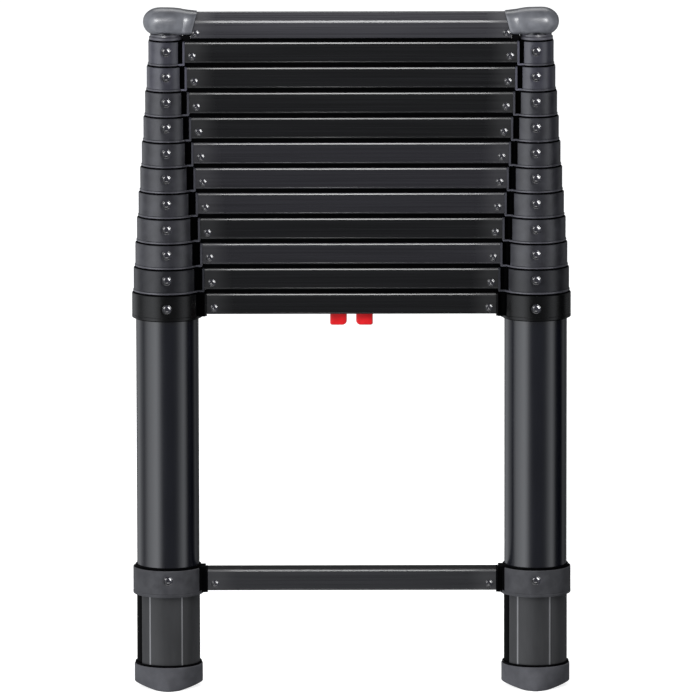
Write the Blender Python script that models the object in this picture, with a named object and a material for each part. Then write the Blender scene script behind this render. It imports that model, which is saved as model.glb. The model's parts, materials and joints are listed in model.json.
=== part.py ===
"""A telescoping ladder, stowed: twelve nested tubes a side, joined by thirteen rungs.

Metres, +Z up, -Y is the front. The origin is on the floor, midway between the two feet.
Every left-hand piece is modelled about its own stile's axis with the rungs towards +X,
and its right-hand twin is the same shape turned half a turn.
"""

import math

import bmesh
import bpy

# Driving dimensions
SECTIONS = 12  # nested tubes a side; section 0 is the outermost and stands on the floor
STILE_X = 0.200  # centre line to each stile's axis
RUNG_SPACING = 0.3048  # tread to tread, drawn out and locked
STACK_PITCH = 0.0275  # tread to tread, stowed
FIRST_COLLAR_Z = 0.4093  # underside of section 0's upper collar module
BASE_TUBE_RADIUS = 0.0340
TOP_TUBE_RADIUS = 0.0150
TUBE_WALL = 0.0012
TUBE_LENGTH = 0.3850
FIT_GAP = 0.0003
SIDES = 24  # facets round every nested circle, all in step

# Collars
COLLAR_HEIGHT = 0.0270
COLLAR_WALL = 0.0042  # round the outside
RECESS_WALL = 0.0012  # where the ring thins beside the rung
RECESS_ANGLE = math.radians(47)
NECK_HALF_DEPTH = 0.0110
NECK_SLOPE_START = 0.8  # of the way from the axis to the rung
TONGUE_LENGTH = 0.0200
TONGUE_ROOT = 0.0020
BASE_COLLAR_SKIRT = 0.0012  # the base collars reach this much lower
LOWER_COLLAR_Z = 0.1050
LOWER_COLLAR_HEIGHT = 0.0290

# Rungs, in a section's own heights above its collar's underside
RUNG_LOW = 0.0033
RUNG_HIGH = 0.0261
RUNG_HALF_DEPTH = 0.0150
RUNG_WALL = 0.0015
RUNG_EDGE = 0.0020
KEEL_LOW = -0.0011  # a stowed rung's keel all but fills the gap above the rung below
KEEL_HALF_DEPTH = 0.0115
KEEL_END_GAP = 0.0026  # the keel stops short of the rung's ends, clear of the collar below
BASE_RUNG_END = 0.0408  # from the stile's axis
RUNG_END_STEP = 0.00228  # each higher rung reaches this much nearer its stile
LOWER_RUNG_Z = 0.1080
TOP_RUNG_LOW = 0.0024
TOP_RUNG_HIGH = 0.0295
TOP_RUNG_EDGE = 0.0100
TOP_RUNG_END_LOW = 0.0240
TOP_RUNG_END_HIGH = 0.0312

# End caps of the top rung
CAP_HEIGHT = 0.0342
CAP_BOTTOM = 0.0040
CAP_OUTER_X = -0.0270
CAP_ROUND_LENGTH = 0.0165
CAP_INNER_X_LOW = 0.0226
CAP_INNER_X_HIGH = 0.0298
CAP_CORNER = 0.0085
CAP_TOP_CORNER = 0.0106
CAP_END_SHRINK = 0.96
CAP_HALF_DEPTH = 0.0200
CAP_END_HALF_DEPTH = 0.0170
CAP_NECK_RADIUS = 0.0185
CAP_BORE_TOP = 0.0223
CAP_NOSE_ANGLES = (84, 66, 46, 24, 0)
CAP_FOOT_START = 0.0182  # block under the cap's inner end, in line with the keels
CAP_TONGUE_START = 0.0200
CAP_TONGUE_END = 0.0500
CAP_TONGUE_DROP = 0.0100

# Feet
FOOT_RIM_Z = 0.0260
FOOT_RADIUS = 0.0372
FOOT_NOSE = 0.0420
FOOT_SQUARENESS = 1.4
FOOT_FLOOR = 0.0130
FOOT_EDGE = 0.0022

# Release, inside section 0's upper rung
PIN_RADIUS = 0.0030
PIN_BORE_RADIUS = 0.0034
PIN_HEIGHT = 0.0147  # above the collar's underside
PIN_INNER_X = 0.0300  # from the centre line
SHOULDER_RADIUS = 0.0055
SHOULDER_X = 0.0880
SHOULDER_LENGTH = 0.0030
GUIDE_X = 0.0600
GUIDE_LENGTH = 0.0080
SPRING_TURNS = 6
SPRING_RADIUS = 0.0044
SPRING_WIRE = 0.0005
TRIGGER_INNER_X = 0.0050
TRIGGER_WIDTH = 0.0182
TRIGGER_HALF_DEPTH = 0.0080
TRIGGER_DROP = 0.0133  # below the rung
TRIGGER_OUTER_CORNER = 0.0022
TRIGGER_INNER_CORNER = 0.0050
CARRIAGE_OUTER_X = 0.0400
CARRIAGE_HALF_HEIGHT = 0.0080
CARRIAGE_HALF_DEPTH = 0.0100
SLOT_HALF_LENGTH = 0.0245
SLOT_HALF_DEPTH = 0.0086

CUT_MARGIN = 0.0100  # how far cutters run past what they cut
LAP = 0.0040  # how far joined solids run into each other

# Colours
BLACK_ANODISED = ((0.018, 0.019, 0.023), 0.28, 0.9)
DARK_MOULDING = ((0.075, 0.077, 0.085), 0.45, 0.0)
BLACK_RUBBER = ((0.050, 0.051, 0.055), 0.75, 0.0)
RED_PLASTIC = ((0.72, 0.015, 0.020), 0.35, 0.0)
STEEL = ((0.55, 0.56, 0.58), 0.30, 1.0)
BLACK_MOULDING = ((0.020, 0.020, 0.022), 0.50, 0.0)


def tube_radius(section):
    step = (BASE_TUBE_RADIUS - TOP_TUBE_RADIUS) / (SECTIONS - 1)
    return BASE_TUBE_RADIUS - section * step


def rung_end(section):
    """Distance from a stile's axis to the end of that section's rung."""
    return BASE_RUNG_END - section * RUNG_END_STEP


def clear_scene():
    for obj in list(bpy.data.objects):
        bpy.data.objects.remove(obj, do_unlink=True)


def material(name, look):
    colour, roughness, metallic = look
    made = bpy.data.materials.new(name)
    made.use_nodes = True
    shader = made.node_tree.nodes["Principled BSDF"]
    shader.inputs["Base Color"].default_value = (*colour, 1.0)
    shader.inputs["Roughness"].default_value = roughness
    shader.inputs["Metallic"].default_value = metallic
    made.diffuse_color = (*colour, 1.0)
    return made


# Outlines and solids


def arc(centre, radius, start, end, steps):
    """Points on an arc, both ends included; angles in degrees."""
    points = []
    for i in range(steps + 1):
        angle = math.radians(start + (end - start) * i / steps)
        points.append((centre[0] + radius * math.cos(angle), centre[1] + radius * math.sin(angle)))
    return points


def circle(radius, sides=SIDES, centre=(0.0, 0.0)):
    return arc(centre, radius, 0, 360, sides)[:-1]


def rectangle(low, high):
    return [(low[0], low[1]), (high[0], low[1]), (high[0], high[1]), (low[0], high[1])]


def rounded_rectangle(half_width, low, high, low_radius, high_radius, steps):
    """A rectangle centred sideways, with one radius for its lower corners and one for its upper."""
    left, right = -half_width, half_width
    points = arc((right - low_radius, low + low_radius), low_radius, -90, 0, steps)
    points += arc((right - high_radius, high - high_radius), high_radius, 0, 90, steps)
    points += arc((left + high_radius, high - high_radius), high_radius, 90, 180, steps)
    points += arc((left + low_radius, low + low_radius), low_radius, 180, 270, steps)
    return points


def loft(rings):
    """A closed solid through rings of equal length, capped at both ends."""
    solid = bmesh.new()
    made = [[solid.verts.new(point) for point in ring] for ring in rings]
    count = len(made[0])
    for lower, upper in zip(made, made[1:]):
        for i in range(count):
            j = (i + 1) % count
            solid.faces.new((lower[i], lower[j], upper[j], upper[i]))
    solid.faces.new(list(reversed(made[0])))
    solid.faces.new(made[-1])
    bmesh.ops.recalc_face_normals(solid, faces=solid.faces)
    return solid


def prism(outline, low, high, along="Z"):
    """An outline swept straight along one axis: it lies in XY, XZ or YZ."""
    place = {
        "Z": lambda u, v, w: (u, v, w),
        "Y": lambda u, v, w: (u, w, v),
        "X": lambda u, v, w: (w, u, v),
    }[along]
    return loft([[place(u, v, w) for u, v in outline] for w in (low, high)])


class Builder:
    """Makes objects that share a parent and a place."""

    def __init__(self, name, location=(0.0, 0.0, 0.0), parent=None, turned=False):
        self.frame = bpy.data.objects.new(name, None)
        self.frame.empty_display_size = 0.02
        self.frame.location = location
        self.frame.rotation_euler[2] = math.pi if turned else 0.0
        self.frame.parent = parent
        bpy.context.scene.collection.objects.link(self.frame)

    def part(self, name, solid, look):
        mesh = bpy.data.meshes.new(name)
        solid.to_mesh(mesh)
        solid.free()
        mesh.shade_smooth()
        mesh.set_sharp_from_angle(angle=math.radians(35))
        mesh.materials.append(look)
        obj = bpy.data.objects.new(name, mesh)
        obj.parent = self.frame
        bpy.context.scene.collection.objects.link(obj)
        return obj

    def combine(self, target, operation, solid):
        """Adds a Boolean with a helper solid that isn't itself shown."""
        name = f"{target.name}_{operation.lower()}_{len(target.modifiers)}"
        mesh = bpy.data.meshes.new(name)
        solid.to_mesh(mesh)
        solid.free()
        helper = bpy.data.objects.new(name, mesh)
        helper.parent = self.frame
        helper.hide_render = True
        helper.display_type = "WIRE"
        bpy.context.scene.collection.objects.link(helper)
        boolean = target.modifiers.new(operation.title(), "BOOLEAN")
        boolean.operation = operation
        boolean.solver = "EXACT"
        boolean.object = helper


# Stiles


def collar_plan(tube, reach):
    """Plan of a collar: a thick ring that steps in to a thin wall beside the rung."""
    thin = tube + RECESS_WALL
    recess = math.degrees(RECESS_ANGLE)
    points = arc((0.0, 0.0), tube + COLLAR_WALL, recess, 360 - recess, 18)
    points += arc((0.0, 0.0), thin, -recess, recess, 6)
    return [(min(x, reach - FIT_GAP), y) for x, y in points]


def neck_profile(reach, low, top):
    """Side view of the web from the ring to the rung, its underside sloping up to the rung."""
    slope_start = NECK_SLOPE_START * reach
    return [(0.0, 0.0), (slope_start, 0.0), (reach, low), (reach, top), (0.0, top)]


def add_neck(build, target, reach, low, high, top):
    """The web between a ring and its rung, and the tongue that the rung is riveted to."""
    neck = prism(neck_profile(reach, low, top), -NECK_HALF_DEPTH, NECK_HALF_DEPTH, "Y")
    build.combine(target, "UNION", neck)
    inset = RUNG_WALL + FIT_GAP
    half = RUNG_HALF_DEPTH - inset
    section = rectangle((-half, low + inset), (half, high - inset))
    tongue = prism(section, reach - TONGUE_ROOT, reach + TONGUE_LENGTH, "X")
    build.combine(target, "UNION", tongue)


def lock_hole(radius, height, start, end):
    return prism(circle(radius, 8, (0.0, height)), start, end, "X")


def add_inner_stile(build, side, section, look):
    """One sliding tube with its collar moulded on, and the hole that its lock pin enters."""
    radius = tube_radius(section)
    reach = rung_end(section) - FIT_GAP
    foot = COLLAR_HEIGHT - TUBE_LENGTH
    name = f"section_{section:02d}_stile_{side}"
    stile = build.part(name, prism(collar_plan(radius, reach), 0.0, COLLAR_HEIGHT), look)
    add_neck(build, stile, reach, RUNG_LOW, RUNG_HIGH, COLLAR_HEIGHT)
    top = COLLAR_HEIGHT - 2 * FIT_GAP
    build.combine(stile, "UNION", prism(circle(radius), foot, top))
    bore = prism(circle(radius - TUBE_WALL), foot - CUT_MARGIN, COLLAR_HEIGHT + CUT_MARGIN)
    build.combine(stile, "DIFFERENCE", bore)
    add_lock_hole(build, stile, radius)


def add_lock_hole(build, stile, radius):
    """The hole comes level with the lock pin of the section below at full reach."""
    height = PIN_HEIGHT - RUNG_SPACING
    hole = lock_hole(PIN_BORE_RADIUS, height, radius - 3 * TUBE_WALL, radius + CUT_MARGIN)
    build.combine(stile, "DIFFERENCE", hole)


def add_top_tube(build, side, look):
    radius = TOP_TUBE_RADIUS
    foot = COLLAR_HEIGHT - TUBE_LENGTH
    top = CAP_BORE_TOP - FIT_GAP
    tube = build.part(f"top_tube_{side}", prism(circle(radius), foot, top), look)
    bore = prism(circle(radius - TUBE_WALL), foot - CUT_MARGIN, top + CUT_MARGIN)
    build.combine(tube, "DIFFERENCE", bore)
    add_lock_hole(build, tube, radius)


def add_base_tube(build, side, look):
    """The outermost tube, from its boot up through both base collars."""
    radius = BASE_TUBE_RADIUS
    low = FOOT_FLOOR + FIT_GAP
    high = FIRST_COLLAR_Z + COLLAR_HEIGHT - 2 * FIT_GAP
    tube = build.part(f"base_tube_{side}", prism(circle(radius), low, high), look)
    bore = prism(circle(radius - TUBE_WALL), low - CUT_MARGIN, high + CUT_MARGIN)
    build.combine(tube, "DIFFERENCE", bore)
    height = FIRST_COLLAR_Z + PIN_HEIGHT
    hole = lock_hole(PIN_BORE_RADIUS, height, radius - CUT_MARGIN, radius + CUT_MARGIN)
    build.combine(tube, "DIFFERENCE", hole)


def add_base_collar(build, name, height, rung_low, look):
    """A separate collar clamped round the base tube; the empty's origin is its underside."""
    radius = BASE_TUBE_RADIUS
    reach = rung_end(0) - FIT_GAP
    ring = prism(collar_plan(radius, reach), -BASE_COLLAR_SKIRT, height)
    collar = build.part(name, ring, look)
    add_neck(build, collar, reach, rung_low, rung_low + RUNG_HIGH - RUNG_LOW, height)
    bore = prism(circle(radius + FIT_GAP), -CUT_MARGIN, height + CUT_MARGIN)
    build.combine(collar, "DIFFERENCE", bore)
    return collar


def foot_ring(height, blend, shrink):
    """One level of a boot: a circle at the rim (blend 0) that turns into a pointed sole (blend 1)."""
    points = []
    for i in range(SIDES):
        angle = 2 * math.pi * i / SIDES
        along, across = math.cos(angle), math.sin(angle)
        power = FOOT_SQUARENESS
        reach = (abs(along) / FOOT_RADIUS) ** power + (abs(across) / FOOT_NOSE) ** power
        radius = FOOT_RADIUS + (reach ** (-1 / power) - FOOT_RADIUS) * blend - shrink
        points.append((radius * along, radius * across, height))
    return points


def add_foot(build, side, look):
    """A moulded boot: round where it grips the tube, drawn out to a nose front and back."""
    rings = [
        foot_ring(0.0, 1.0, FOOT_EDGE),
        foot_ring(FOOT_EDGE, 1.0, 0.0),
        foot_ring(FOOT_FLOOR, 0.5, 0.0),
        foot_ring(FOOT_RIM_Z - FOOT_EDGE, 0.0, 0.0),
        foot_ring(FOOT_RIM_Z, 0.0, FOOT_EDGE / 2),
    ]
    boot = build.part(f"foot_{side}", loft(rings), look)
    pocket = prism(circle(BASE_TUBE_RADIUS + FIT_GAP), FOOT_FLOOR, FOOT_RIM_Z + CUT_MARGIN)
    build.combine(boot, "DIFFERENCE", pocket)


# Rungs


def add_rung(build, name, section, low, look):
    """A hollow extruded tread with softened upper edges."""
    high = low + RUNG_HIGH - RUNG_LOW
    half = STILE_X - rung_end(section)
    edge = RUNG_EDGE
    outline = rounded_rectangle(RUNG_HALF_DEPTH, low, high, edge / 2, edge, 2)
    rung = build.part(name, prism(outline, -half, half, "X"), look)
    inner = RUNG_HALF_DEPTH - RUNG_WALL
    hollow = rectangle((-inner, low + RUNG_WALL), (inner, high - RUNG_WALL))
    build.combine(rung, "DIFFERENCE", prism(hollow, -half - CUT_MARGIN, half + CUT_MARGIN, "X"))
    return rung


def add_keel(build, rung, low, half_length):
    """A narrower hollow rib under a stowed rung, which closes the gap above the rung below."""
    half = half_length - KEEL_END_GAP
    outer = rectangle((-KEEL_HALF_DEPTH, KEEL_LOW), (KEEL_HALF_DEPTH, low + RUNG_WALL / 2))
    build.combine(rung, "UNION", prism(outer, -half, half, "X"))
    inner = KEEL_HALF_DEPTH - RUNG_WALL
    hollow = rectangle((-inner, KEEL_LOW + RUNG_WALL), (inner, low + 2 * RUNG_WALL))
    build.combine(rung, "DIFFERENCE", prism(hollow, -half - CUT_MARGIN, half + CUT_MARGIN, "X"))


def add_top_rung(build, look):
    """The hand rail: rounder on top, with ends cut on the slant to meet the caps."""
    low, high = TOP_RUNG_LOW, TOP_RUNG_HIGH
    outline = rounded_rectangle(RUNG_HALF_DEPTH, low, high, RUNG_EDGE / 2, TOP_RUNG_EDGE, 4)
    lean = (TOP_RUNG_END_HIGH - TOP_RUNG_END_LOW) / (high - low)
    rings = []
    for side in (-1, 1):
        ends = [STILE_X - TOP_RUNG_END_LOW - lean * (z - low) for _, z in outline]
        rings.append([(side * end, y, z) for end, (y, z) in zip(ends, outline)])
    rail = build.part("top_rung", loft(rings), look)
    wall = RUNG_WALL
    hollow = rounded_rectangle(
        RUNG_HALF_DEPTH - wall, low + wall, high - wall, wall / 2, TOP_RUNG_EDGE - wall, 4
    )
    build.combine(rail, "DIFFERENCE", prism(hollow, -STILE_X, STILE_X, "X"))
    add_keel(build, rail, low, STILE_X - TOP_RUNG_END_LOW + KEEL_END_GAP)


def cap_ring(x, half_depth, shrink=1.0, lean=0.0):
    """One upright slice of a cap: a rounded section, shrunk about its middle height."""
    middle = (CAP_BOTTOM + CAP_HEIGHT) / 2
    half_height = (CAP_HEIGHT - CAP_BOTTOM) / 2 * shrink
    low, high = middle - half_height, middle + half_height
    corner, top_corner = CAP_CORNER * shrink, CAP_TOP_CORNER * shrink
    outline = rounded_rectangle(half_depth * shrink, low, high, corner, top_corner, 3)
    return [(x + lean * (z - CAP_BOTTOM), y, z) for y, z in outline]


def add_cap(build, side, look):
    """The top rung's end: a round-nosed block that plugs onto the innermost tube."""
    centre = CAP_OUTER_X + CAP_ROUND_LENGTH
    rings = []
    for angle in CAP_NOSE_ANGLES:
        turn = math.radians(angle)
        x = centre - CAP_ROUND_LENGTH * math.sin(turn)
        rings.append(cap_ring(x, CAP_HALF_DEPTH, math.cos(turn)))
    rings.append(cap_ring(TOP_TUBE_RADIUS, CAP_HALF_DEPTH))
    lean = (CAP_INNER_X_HIGH - CAP_INNER_X_LOW) / (CAP_HEIGHT - CAP_BOTTOM)
    rings.append(cap_ring(CAP_INNER_X_LOW, CAP_END_HALF_DEPTH, CAP_END_SHRINK, lean))
    cap = build.part(f"top_cap_{side}", loft(rings), look)
    build.combine(cap, "UNION", prism(circle(CAP_NECK_RADIUS), 0.0, CAP_BOTTOM + LAP))
    foot = rectangle((-KEEL_HALF_DEPTH, KEEL_LOW), (KEEL_HALF_DEPTH, CAP_BOTTOM + LAP))
    build.combine(cap, "UNION", prism(foot, CAP_FOOT_START, TOP_RUNG_END_LOW - FIT_GAP, "X"))
    inset = RUNG_WALL + FIT_GAP
    half = RUNG_HALF_DEPTH - inset - FIT_GAP
    tongue_top = TOP_RUNG_HIGH - CAP_TONGUE_DROP
    tongue = rectangle((-half, TOP_RUNG_LOW + inset + FIT_GAP), (half, tongue_top))
    build.combine(cap, "UNION", prism(tongue, CAP_TONGUE_START, CAP_TONGUE_END, "X"))
    bore = prism(circle(TOP_TUBE_RADIUS + FIT_GAP), -CUT_MARGIN, CAP_BORE_TOP)
    build.combine(cap, "DIFFERENCE", bore)


# Release, modelled about the rung's middle with its stile towards -X


def add_lock_pin(build, side, look):
    """A sliding bolt: its outer end bears on section 1's tube, and a shoulder takes the spring."""
    outer = -(STILE_X - tube_radius(1) - FIT_GAP)
    steps = [
        (outer, PIN_RADIUS),
        (-SHOULDER_X - SHOULDER_LENGTH, PIN_RADIUS),
        (-SHOULDER_X - SHOULDER_LENGTH, SHOULDER_RADIUS),
        (-SHOULDER_X, SHOULDER_RADIUS),
        (-SHOULDER_X, PIN_RADIUS),
        (-PIN_INNER_X, PIN_RADIUS),
    ]
    rings = []
    for x, radius in steps:
        rings.append([(x, y, z) for y, z in circle(radius, 12)])
    build.part(f"lock_pin_{side}", loft(rings), look)


def add_guide(build, side, look):
    """The block fixed in the rung that the pin slides through and the spring pushes from."""
    inset = RUNG_WALL + FIT_GAP
    half = RUNG_HALF_DEPTH - inset
    low = RUNG_LOW + inset - PIN_HEIGHT
    high = RUNG_HIGH - inset - PIN_HEIGHT
    block = prism(rectangle((-half, low), (half, high)), -GUIDE_X - GUIDE_LENGTH, -GUIDE_X, "X")
    guide = build.part(f"pin_guide_{side}", block, look)
    start, end = -GUIDE_X - GUIDE_LENGTH - CUT_MARGIN, -GUIDE_X + CUT_MARGIN
    build.combine(guide, "DIFFERENCE", lock_hole(PIN_BORE_RADIUS, 0.0, start, end))


def add_spring(build, side, look):
    """A coil round the pin, from the guide to the pin's shoulder."""
    start = -GUIDE_X - GUIDE_LENGTH - FIT_GAP - SPRING_WIRE
    end = -SHOULDER_X + FIT_GAP + SPRING_WIRE
    per_turn = 8
    steps = SPRING_TURNS * per_turn
    rings = []
    for i in range(steps + 1):
        angle = 2 * math.pi * i / per_turn
        x = start + (end - start) * i / steps
        ring = []
        for out, along in circle(SPRING_WIRE, 4):
            radius = SPRING_RADIUS + out
            ring.append((x + along, radius * math.cos(angle), radius * math.sin(angle)))
        rings.append(ring)
    build.part(f"release_spring_{side}", loft(rings), look)


def add_trigger(build, side, look):
    """A finger tab under the rung, on a carriage inside it that draws the pin in."""
    outer = -TRIGGER_INNER_X - TRIGGER_WIDTH
    low = RUNG_LOW - PIN_HEIGHT - TRIGGER_DROP
    top = RUNG_LOW - PIN_HEIGHT + RUNG_WALL + 2 * FIT_GAP
    radius, inner_radius = TRIGGER_OUTER_CORNER, TRIGGER_INNER_CORNER
    outline = [(outer, top + LAP / 2)]
    outline += arc((outer + radius, low + radius), radius, 180, 270, 3)
    outline += arc((-TRIGGER_INNER_X - inner_radius, low + inner_radius), inner_radius, 270, 360, 4)
    outline += [(-TRIGGER_INNER_X, top + LAP / 2)]
    depth = TRIGGER_HALF_DEPTH
    trigger = build.part(f"trigger_{side}", prism(outline, -depth, depth, "Y"), look)
    block = rectangle((-CARRIAGE_OUTER_X, top), (-TRIGGER_INNER_X + FIT_GAP, CARRIAGE_HALF_HEIGHT))
    carriage = prism(block, -CARRIAGE_HALF_DEPTH, CARRIAGE_HALF_DEPTH, "Y")
    build.combine(trigger, "UNION", carriage)
    pocket_end = -PIN_INNER_X + FIT_GAP
    pocket_start = -CARRIAGE_OUTER_X - CUT_MARGIN
    pocket = lock_hole(PIN_RADIUS + FIT_GAP * 1.2, 0.0, pocket_start, pocket_end)
    build.combine(trigger, "DIFFERENCE", pocket)


# Assembly


def both_sides(name, height, parent=None):
    """A builder on each stile's axis, at one height."""
    builders = {}
    for side, sign in (("left", -1), ("right", 1)):
        place = (sign * STILE_X, 0.0, height)
        builders[side] = Builder(f"{name}_{side}_axis", place, parent, sign > 0)
    return builders.items()


def build_base(looks):
    for side, build in both_sides("base", 0.0):
        add_base_tube(build, side, looks["tube"])
        add_foot(build, side, looks["rubber"])
    for side, build in both_sides("lower_collar", LOWER_COLLAR_Z):
        low = LOWER_RUNG_Z - LOWER_COLLAR_Z
        name = f"lower_collar_{side}"
        add_base_collar(build, name, LOWER_COLLAR_HEIGHT, low, looks["collar"])
    for side, build in both_sides("base_collar", FIRST_COLLAR_Z):
        name = f"base_collar_{side}"
        collar = add_base_collar(build, name, COLLAR_HEIGHT, RUNG_LOW, looks["collar"])
        start, end = BASE_TUBE_RADIUS - CUT_MARGIN, rung_end(0) + TONGUE_LENGTH + CUT_MARGIN
        build.combine(collar, "DIFFERENCE", lock_hole(PIN_BORE_RADIUS, PIN_HEIGHT, start, end))
    lower = Builder("lower_rung_frame", (0.0, 0.0, LOWER_RUNG_Z))
    add_rung(lower, "lower_rung", 0, 0.0, looks["rung"])
    upper = Builder("base_rung_frame", (0.0, 0.0, FIRST_COLLAR_Z))
    rung = add_rung(upper, "base_rung", 0, RUNG_LOW, looks["rung"])
    slot = rectangle((-SLOT_HALF_LENGTH, -SLOT_HALF_DEPTH), (SLOT_HALF_LENGTH, SLOT_HALF_DEPTH))
    upper.combine(rung, "DIFFERENCE", prism(slot, -CUT_MARGIN, RUNG_LOW + 2 * RUNG_WALL))


def build_release(looks):
    height = FIRST_COLLAR_Z + PIN_HEIGHT
    for side, turned in (("left", False), ("right", True)):
        build = Builder(f"release_{side}_slide", (0.0, 0.0, height), None, turned)
        add_lock_pin(build, side, looks["steel"])
        add_guide(build, side, looks["inside"])
        add_spring(build, side, looks["steel"])
        add_trigger(build, side, looks["trigger"])


def build_sections(looks):
    for section in range(1, SECTIONS):
        height = FIRST_COLLAR_Z + section * STACK_PITCH
        frame = Builder(f"section_{section:02d}", (0.0, 0.0, height))
        for side, build in both_sides(f"section_{section:02d}", 0.0, frame.frame):
            if section < SECTIONS - 1:
                add_inner_stile(build, side, section, looks["stile"])
            else:
                add_top_tube(build, side, looks["tube"])
                add_cap(build, side, looks["collar"])
        if section < SECTIONS - 1:
            name = f"section_{section:02d}_rung"
            rung = add_rung(frame, name, section, RUNG_LOW, looks["rung"])
            add_keel(frame, rung, RUNG_LOW, STILE_X - rung_end(section))
        else:
            add_top_rung(frame, looks["rung"])


def main():
    clear_scene()
    looks = {
        "tube": material("anodised_tube", BLACK_ANODISED),
        "stile": material("stile_moulding", DARK_MOULDING),
        "collar": material("collar_moulding", DARK_MOULDING),
        "rung": material("anodised_rung", BLACK_ANODISED),
        "rubber": material("foot_rubber", BLACK_RUBBER),
        "trigger": material("trigger_red", RED_PLASTIC),
        "steel": material("bright_steel", STEEL),
        "inside": material("inner_moulding", BLACK_MOULDING),
    }
    build_base(looks)
    build_release(looks)
    build_sections(looks)


main()
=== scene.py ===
"""Looks for a stowed telescoping ladder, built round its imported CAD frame.

Metres, +Z up, -Y is the front. Pieces of a stile are modelled about that stile's axis with
the rungs towards +X, then set on the left stile, or mirrored on to the right one.
"""

import json
import math

import bmesh
import bpy
from mathutils import Matrix, Vector

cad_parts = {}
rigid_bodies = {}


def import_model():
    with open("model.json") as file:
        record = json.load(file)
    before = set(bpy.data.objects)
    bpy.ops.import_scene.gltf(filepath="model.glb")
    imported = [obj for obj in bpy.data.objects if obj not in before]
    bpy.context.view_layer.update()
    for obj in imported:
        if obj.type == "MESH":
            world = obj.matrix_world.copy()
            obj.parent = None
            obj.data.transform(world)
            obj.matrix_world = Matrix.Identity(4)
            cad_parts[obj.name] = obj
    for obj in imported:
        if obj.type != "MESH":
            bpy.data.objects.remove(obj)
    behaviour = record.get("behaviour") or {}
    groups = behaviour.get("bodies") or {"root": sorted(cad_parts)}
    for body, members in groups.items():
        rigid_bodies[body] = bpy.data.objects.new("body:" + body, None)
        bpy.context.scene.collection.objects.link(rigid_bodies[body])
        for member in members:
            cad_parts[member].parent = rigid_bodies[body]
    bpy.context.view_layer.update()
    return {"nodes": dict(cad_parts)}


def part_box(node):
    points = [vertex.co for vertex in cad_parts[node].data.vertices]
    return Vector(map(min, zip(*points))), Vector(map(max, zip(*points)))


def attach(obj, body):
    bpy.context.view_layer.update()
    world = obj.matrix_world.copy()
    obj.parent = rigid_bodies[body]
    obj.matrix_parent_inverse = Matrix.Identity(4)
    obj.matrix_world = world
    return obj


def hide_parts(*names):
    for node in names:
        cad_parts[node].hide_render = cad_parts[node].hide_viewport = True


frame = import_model()

MM = 0.001
SECTIONS = 12
TOP = SECTIONS - 1
SIDES = (("left", -1), ("right", 1))

# Tubes
TUBE_WALL = 1.2 * MM
TUBE_LENGTH = 385.0 * MM
TUBE_SEGMENTS = 96
TUBE_EASE = 0.25 * MM
LOCK_HOLE_RADIUS = 3.4 * MM
LOCK_HOLE_DROP = 290.1 * MM
LOCK_HOLE_START = 12.0 * MM
LOCK_HOLE_LENGTH = 30.0 * MM

# Collars
COLLAR_HEIGHT = 27.0 * MM
RING_HEIGHT = 26.0 * MM
LOWER_COLLAR_HEIGHT = 29.0 * MM
COLLAR_WALL = 4.2 * MM
COLLAR_WALL_STEP = 0.16 * MM
COLLAR_LEAST_WALL = 0.5 * MM
COLLAR_BORE_GAP = 0.12 * MM
COLLAR_EASE = ((0.7, 0.06), (0.3, 0.28), (0.06, 0.62), (0.0, 0.95))  # below the top, drawn in, mm
SKIRT = 1.2 * MM
RECESS_WALL = 1.2 * MM
RECESS_ANGLE_FIRST = 33.0
RECESS_ANGLE_STEP = 1.4
LOWER_RECESS_ANGLE = 27.0
RECESS_BLEND = 0.9
FIT_GAP = 0.3 * MM
LIP_HEIGHT = 2.1 * MM
LIP_PROUD = 0.75 * MM
LIP_FLUSH = 0.1 * MM
LIP_ROOT = 0.25 * MM
LIP_FULLNESS = 0.6
LIP_STEP = 0.4 * MM
FLANGE_THICKNESS = 2.3 * MM
FLANGE_LOW = 0.9 * MM
NECK_HALF_DEPTH = 11.0 * MM
WEB_GAP = 0.5 * MM
DRIP_START = 11.7 * MM
DRIP_END = 13.2 * MM
DRIP_LOW = -0.9 * MM
# Near-black rings where tubes enter collars and boots: painted shade.
SHADE_SEAL_WALL = 1.7 * MM
TOP_SHADE_SEAL_WALL = 2.2 * MM

# Rivets
COLLAR_RIVET_RADIUS = 4.3 * MM
COLLAR_RIVET_HEIGHT = 2.5 * MM
COLLAR_RIVET_Z = 15.4 * MM
BASE_RIVET_Z = 11.8 * MM
LOWER_RIVET_Z = 17.2 * MM
DISH_RADIUS = 6.6 * MM
DISH_DEPTH = 0.55 * MM
RUNG_RIVET_RADIUS = 3.5 * MM
RUNG_RIVET_HEIGHT = 1.7 * MM
RUNG_RIVET_INSET = 10.0 * MM
RUNG_RIVET_Z = 9.9 * MM
RAIL_RIVET_X = 31.9 * MM
RAIL_RIVET_Z = 7.4 * MM
RIVET_SEAT = 0.34 * MM
RIVET_FLANGE = ((1.16, -0.5), (1.16, 0.12), (1.10, 0.28), (1.0, 0.34))  # share of radius, mm up
RIVET_POINT = 0.05 * MM
DIMPLE_RADIUS = 1.1 * MM
DIMPLE = ((1.0, 0.02), (0.85, -0.12), (0.6, -0.5), (0.3, -0.75))  # share of its radius, mm up
DIMPLE_DEPTH = 0.85 * MM

# Rungs
RUNG_WALL = 1.5 * MM
RUNG_END_GAP = 0.05 * MM
RUNG_END_EASE = 0.2 * MM
RUNG_FOOT = 0.5 * MM
RUNG_TOP_EDGE = 3.0 * MM
BEAD_HEIGHT = 1.3 * MM
BEAD_PROUD = 0.35 * MM
BEAD_ROUND = 0.3 * MM
TREAD_GROOVE = 0.45 * MM
GROOVE_HALF_WIDTH = 0.55 * MM
GROOVE_SHARES = (11.0 / 15.0, 8.2 / 15.0, 5.5 / 15.0, 2.75 / 15.0)  # of the half depth
KEEL_LOW = -1.1 * MM
KEEL_HIGH = 3.9 * MM
KEEL_HALF_DEPTH = 11.5 * MM
KEEL_END_GAP = 2.6 * MM
SLOT_HALF_LENGTH = 24.5 * MM
SLOT_HALF_DEPTH = 8.6 * MM

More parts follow.
